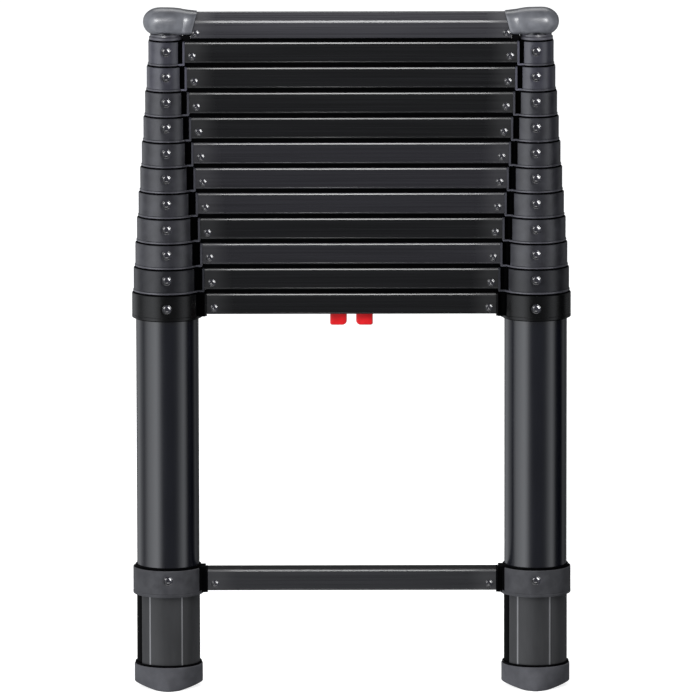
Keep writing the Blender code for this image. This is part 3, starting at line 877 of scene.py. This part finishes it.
def facing(shell, x, y, z, sign):
    """Turns a shell that points along +Z to face the front (sign -1) or the back, at a point."""
    return shell.mapped(lambda px, py, pz: (x + px, y + sign * pz, z + py))


def pin_hole(obj, sign, height, tube):
    """Bores a tube or collar for a lock pin, on the side of the rung."""
    hole = turned([(LOCK_HOLE_RADIUS, 0.0), (LOCK_HOLE_RADIUS, LOCK_HOLE_LENGTH)], 24)
    start = tube - LOCK_HOLE_START
    cut(obj, on_side(hole.mapped(lambda x, y, z: (start + z, x, y)), sign, height))


# Rungs


def groove(x, high):
    """A groove down into a tread, from its right edge to its left."""
    w = GROOVE_HALF_WIDTH
    low = high - TREAD_GROOVE
    return [(x + w, high), (x + 0.6 * w, low), (x - 0.6 * w, low), (x - w, high)]


def rung_outline(low, high, bead=BEAD_PROUD):
    """Tread section: eased upper edges, a grooved tread and a small bead along each lower edge."""
    half = RUNG_HALF_DEPTH
    side = half + bead
    edge = RUNG_TOP_EDGE
    shoulder = low + BEAD_HEIGHT
    points = arc((side - RUNG_FOOT, low + RUNG_FOOT), RUNG_FOOT, -90, 0, 3)
    points += [(side, shoulder - 0.35 * MM)]
    points += arc((side - BEAD_ROUND, shoulder - BEAD_ROUND), BEAD_ROUND, 15, 75, 2)
    points += [(half, shoulder + 0.1 * MM)]
    points += arc((half - edge, high - edge), edge, 0, 90, 7)
    for share in GROOVE_SHARES:
        points += groove(share * half, high)
    return points + groove(0.0, high) + [(-x, z) for x, z in reversed(points)]


def rung_shell(half_length, outline, lean=lambda z: 0.0):
    """A hollow extrusion along X; lean gives how far in each end sits at a height."""
    wall, ease = RUNG_WALL, RUNG_END_EASE
    steps = (
        (-1, ease, 0.0), (-1, 0.0, ease), (1, 0.0, ease), (1, ease, 0.0),
        (1, wall - ease, 0.0), (1, wall, ease), (-1, wall, ease), (-1, wall - ease, 0.0),
    )
    rings = []
    for side, inset, back in steps:
        ring = []
        for y, z in shrunk(outline, inset):
            ring.append((side * (half_length - back - lean(z)), y, z))
        rings.append(ring)
    return skin(rings, closed=True)


def keel_shell(half_length):
    """The rib under a stacked rung; its bead sits in the middle groove of the tread below."""
    outline = rounded(KEEL_HALF_DEPTH, KEEL_LOW, KEEL_HIGH, 0.7 * MM, 0.1 * MM, 3)
    keel = block(outline, -half_length, half_length, "X", 0.2 * MM)
    bead = rounded(0.3 * MM, KEEL_LOW - 0.55 * MM, KEEL_LOW + 0.3 * MM, 0.15 * MM, 0.05 * MM, 2)
    return keel.merged(block(bead, -half_length, half_length, "X", 0.1 * MM))


def on_tread(high):
    """Tests for the flat upper face of a rung, grooves and all."""
    low = high - TREAD_GROOVE - 0.05 * MM
    half = RUNG_HALF_DEPTH - 0.8 * RUNG_TOP_EDGE
    return lambda x, y, z: z > low and abs(y) < half


# Build


def build_base_tubes():
    for side, sign in SIDES:
        node = f"base_tube_{side}"
        low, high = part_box(node)
        placed = on_side(tube_shell(BASE_TUBE_RADIUS, low.z, high.z), sign, 0.0)
        name = f"outer_tube_{side}"
        tube = piece(name, placed, ["tube"], "base", (node,))
        pin_hole(tube, sign, FIRST_COLLAR_Z + PIN_HEIGHT, BASE_TUBE_RADIUS)


def build_base_collars():
    """The collars at the tops of the outermost tubes, bored for the lock pins."""
    tube = BASE_TUBE_RADIUS
    reach = rung_end(0)
    base = FIRST_COLLAR_Z
    end = reach + FLANGE_THICKNESS
    recess = RECESS_ANGLE_FIRST
    looks = ["base_collar", "recess", "base_collar"]
    for side, sign in SIDES:
        node = f"base_collar_{side}"
        ring = collar_ring(tube, end, RING_HEIGHT, BASE_RIVET_Z, recess, LIP_FLUSH, SKIRT)
        placed = on_side(ring, sign, base)
        collar = piece(f"collar_00_{side}", placed, looks, "base", (node,))
        pin_hole(collar, sign, base + PIN_HEIGHT, tube)
        # The ring in the collar's top is near-black painted shade.
        web = base_collar_web(tube, reach, RUNG_HIGH, COLLAR_HEIGHT).merged(top_shade_seal(tube), 1)
        placed = on_side(web, sign, base)
        piece(f"collar_neck_{side}", placed, looks, "base", (node,))
        # A near-black ring under the collar: painted shade where the tube enters.
        seal = on_side(shade_seal_ring(tube, -2.4 * MM, -0.2 * MM), sign, base)
        piece(f"upper_seal_{side}", seal, ["recess"], "base")


def top_shade_seal(tube):
    """A near-black ring in a collar's top, round the next tube in: painted shade where the tube
    enters.
    """
    return shade_seal_ring(tube, RING_HEIGHT - 0.4 * MM, COLLAR_HEIGHT + 0.1 * MM, TOP_SHADE_SEAL_WALL)


def build_section_stiles(section):
    tube = tube_radius(section)
    reach = rung_end(section)
    base = collar_z(section)
    body = body_of(section)
    recess = RECESS_ANGLE_FIRST + RECESS_ANGLE_STEP * section
    end = reach + FLANGE_THICKNESS
    wall = collar_wall(section)
    shell = collar_ring(tube, end, RING_HEIGHT, COLLAR_RIVET_Z, recess, LIP_PROUD, 0.0, wall)
    # The ring in the collar's top is near-black painted shade.
    shell.merged(top_shade_seal(tube), 1)
    shell.merged(collar_web(tube, reach, RUNG_HIGH, COLLAR_HEIGHT))
    shell.merged(lip_plate(tube, reach))
    stile = tube_shell(tube, COLLAR_HEIGHT - TUBE_LENGTH, RING_HEIGHT - 0.4 * MM)
    looks = [COLLAR_TONES.get(section, "collar"), "recess", "lip"]
    for side, sign in SIDES:
        replaced = (f"section_{section:02d}_stile_{side}",)
        name = f"collar_{section:02d}_{side}"
        piece(name, on_side(shell, sign, base), looks, body, replaced)
        name = f"tube_{section:02d}_{side}"
        placed = on_side(stile, sign, base)
        pipe = piece(name, placed, ["stile"], body, replaced)
        pin_hole(pipe, sign, base - LOCK_HOLE_DROP, tube)


def leg_sleeve(low, high):
    """The satin sleeve over the leg: two fine ribs at the front, paler as a painted highlight, and
    a shallow groove on its left, near-black as painted shade.
    """
    columns = set(range(0, 360, 2))
    for centre in LEG_RIBS:
        for step in LEG_RIB_STEPS:
            columns.update((centre - step, centre + step))
    for edge in LEG_SHADE_GROOVE:
        columns.update((edge - 0.5, edge + 0.5))
    columns = spaced(columns, 0.3)
    start, end = LEG_SHADE_GROOVE
    radius = BASE_TUBE_RADIUS + LEG_SLEEVE_WALL
    shrink, ease = 0.2 * MM, 0.25 * MM
    rings = []
    for z, inset in ((low, shrink), (low + ease, 0.0), (high - ease, 0.0), (high, shrink)):
        ring = []
        for angle in columns:
            proud = 0.0
            for centre in LEG_RIBS:
                away = min(1.0, abs(angle - centre) / LEG_RIB_HALF_WIDTH)
                proud = max(proud, LEG_RIB_PROUD * math.sqrt(1 - away * away))
            if start < angle < end:
                proud = -LEG_SHADE_GROOVE_DEPTH
            ring.append(polar(radius + proud - inset, angle, z))
        rings.append(ring)
    inner = BASE_TUBE_RADIUS + LEG_SLEEVE_GAP
    for z in (high, low):
        rings.append([polar(inner, angle, z) for angle in columns])

    # The groove takes slot 1, near-black as painted shade.
    def in_shade_groove(x, y, z):
        return start < math.degrees(math.atan2(y, x)) % 360 < end

    # The ribs take slot 2, the paler rib colour, as a painted highlight.
    def on_rib_highlight(x, y, z):
        angle = math.degrees(math.atan2(y, x)) % 360
        return min(abs(angle - rib) for rib in LEG_RIBS) < 0.8 * LEG_RIB_HALF_WIDTH

    return paint(paint(skin(rings, closed=True), 1, in_shade_groove), 2, on_rib_highlight)


def build_lower_frame():
    """The lower collars with their near-black rings, and the sleeves and near-black rings at the
    boots of the legs below; the rings are painted shade where the tubes enter.
    """
    tube = BASE_TUBE_RADIUS
    base = LOWER_COLLAR_Z
    reach = rung_end(0)
    end = reach + FLANGE_THICKNESS
    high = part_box("lower_rung")[1].z - base
    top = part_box("lower_collar_left")[1].z - base - 0.7 * MM
    recess = LOWER_RECESS_ANGLE
    shell = collar_ring(tube + 0.1 * MM, end, top, LOWER_RIVET_Z, recess, LIP_FLUSH, SKIRT)
    # The flange of the lower collar takes slot 1, near-black as painted shade.
    shell.merged(collar_web(tube, reach, high, top, 1))
    # Near-black rings where the tube enters the collar and the boot: painted shade.
    collar_shade_seal = shade_seal_ring(tube + 0.2 * MM, top - 0.6 * MM, top + 2.4 * MM)
    boot_shade_seal = shade_seal_ring(tube + 0.6 * MM, FOOT_RIM_Z - 0.5 * MM, FOOT_RIM_Z + 2.2 * MM)
    sleeve = leg_sleeve(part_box("foot_left")[1].z - 4.0 * MM, base - 1.3 * MM)
    for side, sign in SIDES:
        looks = ["lower_collar", "recess", "lower_collar"]
        replaced = (f"lower_collar_{side}",)
        placed = on_side(shell, sign, base)
        piece(f"lower_collar_ring_{side}", placed, looks, "base", replaced)
        placed = on_side(collar_shade_seal, sign, base)
        piece(f"lower_seal_{side}", placed, ["recess"], "base")
        # The ribs with their painted highlight and the groove with its painted shade keep their
        # places on both legs, so the sleeve is not mirrored.
        placed = sleeve.moved(sign * STILE_X)
        looks = ["leg", "recess", "rib"]
        piece(f"leg_sleeve_{side}", placed, looks, "base")
        placed = on_side(boot_shade_seal, sign, 0.0)
        piece(f"boot_seal_{side}", placed, ["recess"], "base")


def build_rungs():
    for section in range(TOP):
        base = collar_z(section)
        half = STILE_X - rung_end(section) - FLANGE_THICKNESS - RUNG_END_GAP
        outline = rung_outline(RUNG_LOW, RUNG_HIGH, BEAD_PROUD if section else 0.0)
        shell = paint(rung_shell(half, outline), 2, on_tread(RUNG_HIGH))
        if section:
            # The keel takes slot 1, near-black as painted shade.
            shell.merged(keel_shell(STILE_X - rung_end(section) - KEEL_END_GAP), 1)
        name = f"rung_{section:02d}"
        tone = PALE_RUNG_TONE if section in PALE_RUNGS else RUNG_TONE
        LOOKS[name] = rung_look(f"{name}_anodised", *tone, half)
        looks = [name, "recess", "tread"]
        replaced = (rung_name(section),)
        obj = piece(name, shell.moved(dz=base), looks, body_of(section), replaced)
        if section == 0:
            edge = 2.0 * MM
            opening = rounded(SLOT_HALF_LENGTH, -SLOT_HALF_DEPTH, SLOT_HALF_DEPTH, edge, edge)
            cut(obj, block(opening, base - 0.01, base + RUNG_LOW + 3.0 * MM, "Z"))
    low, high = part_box("lower_rung")
    half = STILE_X - rung_end(0) - FLANGE_THICKNESS - RUNG_END_GAP
    shell = paint(rung_shell(half, rung_outline(low.z, high.z)), 1, on_tread(high.z))
    piece("rung_lower", shell, ["lower_rung", "tread"], "base", ("lower_rung",))


def rung_rivets(x, z, sign, base):
    """A rivet at the front and one at the back of a rung's end."""
    small = dome_rivet(RUNG_RIVET_RADIUS, RUNG_RIVET_HEIGHT, DIMPLE_RADIUS)
    heads = Shell()
    for face in (-1, 1):
        heads.merged(on_side(facing(small, x, face * RUNG_HALF_DEPTH, z, face), sign, base))
    return heads


def build_rivets():
    dome = dome_rivet(COLLAR_RIVET_RADIUS, COLLAR_RIVET_HEIGHT)
    rows = []
    for section in range(TOP):
        outer = tube_radius(section) + collar_wall(section)
        rivet_z = COLLAR_RIVET_Z if section else BASE_RIVET_Z
        rows.append((f"rivets_{section:02d}", section, collar_z(section), outer, rivet_z))
    rows.append(("rivets_lower", 0, LOWER_COLLAR_Z, BASE_TUBE_RADIUS + COLLAR_WALL, LOWER_RIVET_Z))
    for name, section, base, outer, rivet_z in rows:
        heads = Shell()
        for _, sign in SIDES:
            heads.merged(on_side(facing(dome, 0.0, DISH_DEPTH - outer, rivet_z, -1), sign, base))
            x = rung_end(section) + RUNG_RIVET_INSET
            heads.merged(rung_rivets(x, RUNG_RIVET_Z, sign, base))
        piece(name, heads, ["rivet"], body_of(section), sharp=50)


def foot_level(height, blend, grow, count=120):
    """One level of a boot, from round at the rim (blend 0) to pointed at the sole (blend 1)."""
    power = FOOT_SQUARENESS
    ring = []
    for i in range(count):
        angle = math.tau * i / count
        along, across = math.cos(angle), math.sin(angle)
        reach = (abs(along) / FOOT_RADIUS) ** power + (abs(across) / FOOT_NOSE) ** power
        radius = FOOT_RADIUS + (reach ** (-1 / power) - FOOT_RADIUS) * blend + grow
        beyond = abs(radius * along) - SOLE_HALF_WIDTH
        aside = max(0.0, beyond / (FOOT_RADIUS - SOLE_HALF_WIDTH))
        lift = SOLE_LIFT * aside ** 1.15 * max(0.0, 1 - height / FOOT_FLOOR)
        ring.append((radius * along, radius * across, height + lift))
    return ring


def build_feet():
    rim = FOOT_RIM_Z
    bore = BASE_TUBE_RADIUS + FOOT_BORE_GAP - FOOT_RADIUS
    levels = [(0.0, 1.0, -3.2 * MM), (0.15 * MM, 1.0, -1.9 * MM)]
    levels += [(0.8 * MM, 1.0, -0.7 * MM), (2.0 * MM, 1.0, 0.0)]
    for i in range(1, 9):
        z = 2.0 * MM + (rim - 3.6 * MM) * i / 8
        levels.append((z, 1 - smooth_step(z, 3.0 * MM, rim - 2.0 * MM) ** 0.9, 0.0))
    levels += [(rim - 1.1 * MM, 0.0, 0.0), (rim - 0.5 * MM, 0.0, -0.15 * MM)]
    levels += [(rim - 0.1 * MM, 0.0, -0.6 * MM), (rim, 0.0, -1.1 * MM)]
    levels += [(rim, 0.0, bore + 0.3 * MM), (rim - 0.5 * MM, 0.0, bore), (FOOT_FLOOR, 0.0, bore)]
    shell = skin([foot_level(*level) for level in levels])
    outline = rounded(0.9 * MM, -1.0 * MM, 1.0 * MM, 0.3 * MM, 0.3 * MM, 2)
    bar = block(outline, -0.05, 0.05, "X", 0.1 * MM)
    for side, sign in SIDES:
        placed = shell.moved(sign * STILE_X)
        boot = piece(f"boot_{side}", placed, ["rubber"], "base", (f"foot_{side}",))
        for i in range(-SOLE_GROOVES, SOLE_GROOVES + 1):
            cut(boot, bar.moved(sign * STILE_X, i * SOLE_GROOVE_PITCH))


# End caps and the hand rail


def cap_slice(x, half_depth, low, high, power, count=64, lean=0.0):
    """One upright slice of a cap: a soft rectangle, leaning with height when asked."""
    middle, half_height = (low + high) / 2, (high - low) / 2
    ring = []
    for i in range(count):
        angle = math.tau * i / count
        c, s = math.cos(angle), math.sin(angle)
        y = math.copysign(abs(c) ** (2 / power), c) * half_depth
        z = middle + math.copysign(abs(s) ** (2 / power), s) * half_height
        ring.append((x + lean * (z - CAP_BOTTOM), y, z))
    return ring


def cap_shell():
    lean = (CAP_INNER_HIGH - CAP_INNER_LOW) / (CAP_HEIGHT - CAP_BOTTOM)
    centre = CAP_OUTER_X + CAP_NOSE
    middle = (CAP_BOTTOM + CAP_HEIGHT) / 2 + 0.2 * MM
    half = (CAP_HEIGHT - CAP_BOTTOM) / 2
    rings = []
    for i in range(14):
        turn = math.radians(88 - 88 * i / 13)
        x = centre - CAP_NOSE * math.sin(turn)
        c = math.cos(turn) ** 0.92
        high = middle + (half - 1.5 * MM + 1.2 * MM * (1 - math.sin(turn))) * c
        rings.append(cap_slice(x, CAP_HALF_DEPTH * c, middle - half * c, high, 2.3))
    for x, depth, drop, power, share in CAP_STATIONS:
        low = CAP_BOTTOM + 0.25 * drop * MM
        high = CAP_HEIGHT - drop * MM
        rings.append(cap_slice(x * MM, depth * MM, low, high, power, lean=lean * share))
    return skin(rings)


def cap_collar_shell():
    """The ring under a cap, round the innermost tube, and the block beside it under the rail."""
    inner = TOP_TUBE_RADIUS + CAP_RING_BORE_GAP
    profile = [(r * MM, z * MM) for r, z in CAP_RING]
    profile += [(inner, profile[-1][1]), (inner, 0.0)]
    shell = turned(profile, TUBE_SEGMENTS, closed=True)
    foot = rounded(KEEL_HALF_DEPTH, KEEL_LOW, 8.0 * MM, 0.7 * MM, 0.3 * MM, 3)
    # The block and the tongue take slot 1, near-black as painted shade.
    shell.merged(block(foot, CAP_TONGUE_START, CAP_BLOCK_END, "X", 0.2 * MM), 1)
    tongue = rounded(12.0 * MM, 5.0 * MM, 20.0 * MM, 1.0 * MM, 1.0 * MM, 3)
    return shell.merged(block(tongue, CAP_TONGUE_START, CAP_TONGUE_END, "X", 0.4 * MM), 1)


def rail_outline(low, high):
    """The rail's section: upright sides that turn in at a soft edge up to a narrow top."""
    side = RUNG_HALF_DEPTH
    points = arc((side - RAIL_FOOT, low + RAIL_FOOT), RAIL_FOOT, -90, 0, 4)
    points += arc((side - RAIL_EDGE, high - RAIL_EDGE_DROP), RAIL_EDGE, 0, RAIL_SLOPE, 8)
    edge_x, edge_z = points[-1]
    rise = high - RAIL_TOP_EDGE - edge_z
    top_half = edge_x - rise / math.tan(math.radians(90 - RAIL_SLOPE))
    corner = (top_half - RAIL_TOP_EDGE, high - RAIL_TOP_EDGE)
    points += arc(corner, RAIL_TOP_EDGE, RAIL_SLOPE, 90, 6)
    return points + [(-x, z) for x, z in reversed(points)]


def build_top():
    base = collar_z(TOP)
    body = body_of(TOP)
    radius = TOP_TUBE_RADIUS + CAP_RING_BORE_GAP
    bore = turned([(radius, -0.01), (radius, CAP_BORE_TOP)], TUBE_SEGMENTS)
    for side, sign in SIDES:
        replaced = (f"top_cap_{side}",)
        placed = on_side(cap_shell(), sign, base)
        cap = piece(f"cap_{side}", placed, ["cap"], body, replaced)
        cut(cap, on_side(bore, sign, base))
        placed = on_side(cap_collar_shell(), sign, base)
        looks = ["collar", "recess"]
        piece(f"cap_collar_{side}", placed, looks, body, replaced)
        node = f"top_tube_{side}"
        low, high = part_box(node)
        placed = on_side(tube_shell(TOP_TUBE_RADIUS, low.z, high.z), sign, 0.0)
        name = f"tube_{TOP:02d}_{side}"
        pipe = piece(name, placed, ["stile"], body, (node,))
        pin_hole(pipe, sign, base - LOCK_HOLE_DROP, TOP_TUBE_RADIUS)
    rail_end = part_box("top_rung")[1]
    low, high = base + RAIL_LOW, rail_end.z
    end_low = STILE_X - rail_end.x + CAP_OVERLAP
    lean = (RAIL_END_HIGH + CAP_OVERLAP - end_low) / (high - low)
    half = STILE_X - end_low
    rail = rung_shell(half, rail_outline(low, high), lambda z: lean * (z - low))
    # The keel takes slot 1, near-black as painted shade.
    rail.merged(keel_shell(half).moved(dz=base), 1)
    looks = ["top_rung", "recess"]
    piece("hand_rail", rail, looks, body, ("top_rung",))
    heads = Shell()
    for _, sign in SIDES:
        heads.merged(rung_rivets(RAIL_RIVET_X, RAIL_RIVET_Z, sign, base))
    piece(f"rivets_{TOP:02d}", heads, ["rivet"], body, sharp=50)


# Releases


def bar_beside(outline, start, end, sign, edge=0.3 * MM):
    """A block along X between two distances from the middle, on one side of it."""
    return block(outline, min(sign * start, sign * end), max(sign * start, sign * end), "X", edge)


def build_releases():
    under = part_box("base_rung")[0].z
    for side, sign in SIDES:
        node = f"trigger_{side}"
        low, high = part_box(node)
        bottom, top = low.z, under + TRIGGER_RISE
        edge = TRIGGER_INNER_EDGE
        outline = arc((TRIGGER_INNER + edge, bottom + edge), edge, 180, 270, 8)
        edge = TRIGGER_OUTER_EDGE
        outline += arc((TRIGGER_OUTER - edge, bottom + edge), edge, 270, 360, 6)
        outline += [(TRIGGER_OUTER, top), (TRIGGER_INNER, top)]
        levels = [(-y, inset) for y, inset in TRIGGER_EASE] + list(reversed(TRIGGER_EASE))
        rings = []
        for y, inset in levels:
            rings.append([(sign * x, y * MM, z) for x, z in shrunk(outline, inset * MM)])
        shell = skin(rings)
        carriage = rounded(10.0 * MM, under + 2.2 * MM, high.z, 0.8 * MM, 0.8 * MM, 3)
        shell.merged(bar_beside(carriage, TRIGGER_INNER, CARRIAGE_END, sign))
        body = f"release_{side}"
        trigger = piece(f"release_tab_{side}", shell, ["red"], body, (node,))
        grip = rounded(0.35 * MM, -0.35 * MM, 0.35 * MM, 0.15 * MM, 0.15 * MM, 2)
        bar = bar_beside(grip, GRIP_START, GRIP_END, sign, 0.1 * MM)
        for height in GRIP_GROOVES:
            cut(trigger, bar.moved(0.0, GRIP_DEPTH, bottom + height * MM))
    outline = rounded(26.6 * MM, -10.6 * MM, 10.6 * MM, 3.0 * MM, 3.0 * MM)
    shell = block(outline, under - 0.7 * MM, under + 0.05 * MM, "Z")
    bezel = piece("slot_bezel", shell, ["inside"], "base")
    opening = rounded(24.3 * MM, -8.5 * MM, 8.5 * MM, 1.9 * MM, 1.9 * MM)
    cut(bezel, block(opening, under - 0.01, under + 0.01, "Z"))


def build_springs():
    """Return springs at their pressed length, so that a pin's shoulder never meets its coil."""
    steps = SPRING_TURNS * SPRING_STEPS
    for side, sign in SIDES:
        node = f"release_spring_{side}"
        low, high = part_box(node)
        inner = min(abs(low.x), abs(high.x)) + SPRING_WIRE
        outer = max(abs(low.x), abs(high.x)) - SPRING_WIRE - PIN_TRAVEL
        radius = (high.z - low.z) / 2 - SPRING_WIRE
        axis_z = (low.z + high.z) / 2
        rings = []
        for i in range(steps + 1):
            turn = math.tau * i / SPRING_STEPS
            x = inner + (outer - inner) * i / steps
            ring = []
            for k in range(SPRING_SIDES):
                wire_turn = math.tau * k / SPRING_SIDES
                r = radius + SPRING_WIRE * math.cos(wire_turn)
                along = x + SPRING_WIRE * math.sin(wire_turn)
                ring.append((sign * along, r * math.cos(turn), axis_z + r * math.sin(turn)))
            rings.append(ring)
        piece(f"spring_{side}", skin(rings), ["steel"], "base", (node,))


def dress_hidden_parts():
    """The pins and guides keep their CAD shapes and take finished materials."""
    for side, _ in SIDES:
        for node, look in (("lock_pin", "steel"), ("pin_guide", "inside")):
            obj = frame["nodes"][f"{node}_{side}"]
            obj.material_slots[0].material = LOOKS[look]


# Studio


def area_light(name, place, target, width, height, strength):
    data = bpy.data.lights.new(name, "AREA")
    data.shape = "RECTANGLE"
    data.size = width
    data.size_y = height
    data.energy = strength * width * height * math.pi
    obj = bpy.data.objects.new(name, data)
    obj.location = place
    aim = Vector(target) - Vector(place)
    obj.rotation_euler = aim.to_track_quat("-Z", "Y").to_euler()
    bpy.context.scene.collection.objects.link(obj)
    return obj


def link_light(light, pieces, state):
    """Keeps a light to some pieces, or off them: state is INCLUDE or EXCLUDE."""
    group = bpy.data.collections.new(light.name + "_linking")
    for obj in pieces:
        group.objects.link(obj)
    light.light_linking.receiver_collection = group
    for entry in group.collection_objects:
        entry.light_linking.link_state = state


def around(azimuth, distance, height):
    """A place round the ladder; azimuth 0 is in front and positive turns to the right."""
    turn = math.radians(azimuth)
    return (distance * math.sin(turn), -distance * math.cos(turn), height)


def build_world():
    world = bpy.data.worlds.new("studio")
    world.use_nodes = True
    bpy.context.scene.world = world
    tree = world.node_tree
    ray = add_node(tree, "TexCoord").outputs["Generated"]
    x, y, z = add_node(tree, "SeparateXYZ", {0: ray}).outputs
    back = add_node(tree, "Math", {0: y, 1: -1.0}, operation="MULTIPLY").outputs[0]
    azimuth = add_node(tree, "Math", {0: x, 1: back}, operation="ARCTAN2").outputs[0]
    ramp = add_node(tree, "ValToRGB", {"Fac": map_range(tree, azimuth, -math.pi, math.pi)})
    ramp.color_ramp.interpolation = "LINEAR"
    stops = ramp.color_ramp.elements
    while len(stops) < len(SURROUND):
        stops.new(0.5)
    for stop, (degrees, radiance) in zip(stops, SURROUND):
        stop.position = degrees / 360 + 0.5
        grey = radiance / SURROUND_PEAK
        stop.color = (*(tint * grey for tint in SURROUND_TINT), 1.0)
    strength = map_range(tree, z, *SURROUND_TOP, SURROUND_PEAK, SURROUND_PEAK / 4, "SMOOTHSTEP")
    values = {"Color": ramp.outputs["Color"], "Strength": strength}
    surroundings = fill(tree, tree.nodes["Background"], values)
    backdrop = add_node(tree, "Background", {"Color": (1.0, 1.0, 1.0, 1.0)})
    seen = add_node(tree, "LightPath").outputs["Is Camera Ray"]
    values = {"Fac": seen, 1: surroundings.outputs[0], 2: backdrop.outputs[0]}
    mix = add_node(tree, "MixShader", values)
    fill(tree, tree.nodes["World Output"], {"Surface": mix.outputs[0]})


def build_floor():
    mesh = bpy.data.meshes.new("floor")
    corners = [(-FLOOR_HALF, -FLOOR_HALF, 0), (FLOOR_HALF, -FLOOR_HALF, 0)]
    corners += [(FLOOR_HALF, FLOOR_HALF, 0), (-FLOOR_HALF, FLOOR_HALF, 0)]
    mesh.from_pydata(corners, [], [(0, 1, 2, 3)])
    floor = bpy.data.objects.new("floor", mesh)
    bpy.context.scene.collection.objects.link(floor)
    floor.location.z = -FLOOR_DROP
    floor.visible_glossy = False
    floor.visible_diffuse = False
    floor.visible_shadow = False
    paper = bpy.data.materials.new("floor_paper")
    paper.use_nodes = True
    fill(paper.node_tree, paper.node_tree.nodes["Principled BSDF"], {
        "Base Color": (0.6, 0.6, 0.6, 1.0), "Roughness": 0.9, "Specular IOR Level": 0.0,
        "Emission Color": (1.0, 1.0, 1.0, 1.0), "Emission Strength": FLOOR_GLOW,
    })
    mesh.materials.append(paper)


def named(start):
    return [obj for obj in bpy.data.objects if obj.name.startswith(start)]


def build_studio():
    middle = (0.0, 0.0, 0.55)
    rivets = named("rivets_")
    caps = named("cap_")
    overhead = area_light("overhead", (0.0, -1.35, 2.3), middle, 0.4, 1.9, 25.0)
    link_light(overhead, rivets + caps + named("collar_"), "EXCLUDE")
    area_light("back_fill", (0.0, 1.6, 2.4), middle, 1.6, 1.2, 3.0)
    sparks = (
        area_light("spark_right", around(66, 3.0, 2.4), middle, 3.6, 3.6, 85.0),
        area_light("spark_left", around(-64, 3.0, 2.2), middle, 2.2, 2.2, 32.0),
        area_light("spark_low", (0.0, -2.4, -1.4), middle, 2.0, 1.0, 13.0),
    )
    for spark in sparks:
        link_light(spark, rivets, "INCLUDE")
    for side, sign in SIDES:
        place = around(22 * sign, 3.0, 1.55)
        glint = area_light(f"cap_light_{side}", place, middle, 0.8, 0.8, 64.0)
        link_light(glint, [obj for obj in caps if obj.name.endswith(side)], "INCLUDE")
    bpy.context.scene.view_settings.view_transform = "Standard"


def build_camera():
    data = bpy.data.cameras.new("camera")
    data.sensor_width = 36.0
    data.lens = CAMERA_LENS
    data.shift_x = CAMERA_SHIFT_X
    data.clip_end = 200.0
    camera = bpy.data.objects.new("camera", data)
    camera.location = (0.0, -CAMERA_DISTANCE, CAMERA_HEIGHT)
    tilt = Matrix.Rotation(math.radians(90 - CAMERA_TILT), 3, "X")
    roll = Matrix.Rotation(math.radians(CAMERA_ROLL), 3, "Z")
    camera.rotation_euler = (tilt @ roll).to_euler()
    bpy.context.scene.collection.objects.link(camera)
    bpy.context.scene.camera = camera


build_base_tubes()
build_base_collars()
for number in range(1, TOP):
    build_section_stiles(number)
build_lower_frame()
build_rungs()
build_rivets()
build_feet()
build_top()
build_releases()
build_springs()
dress_hidden_parts()
build_world()
build_floor()
build_studio()
build_camera()
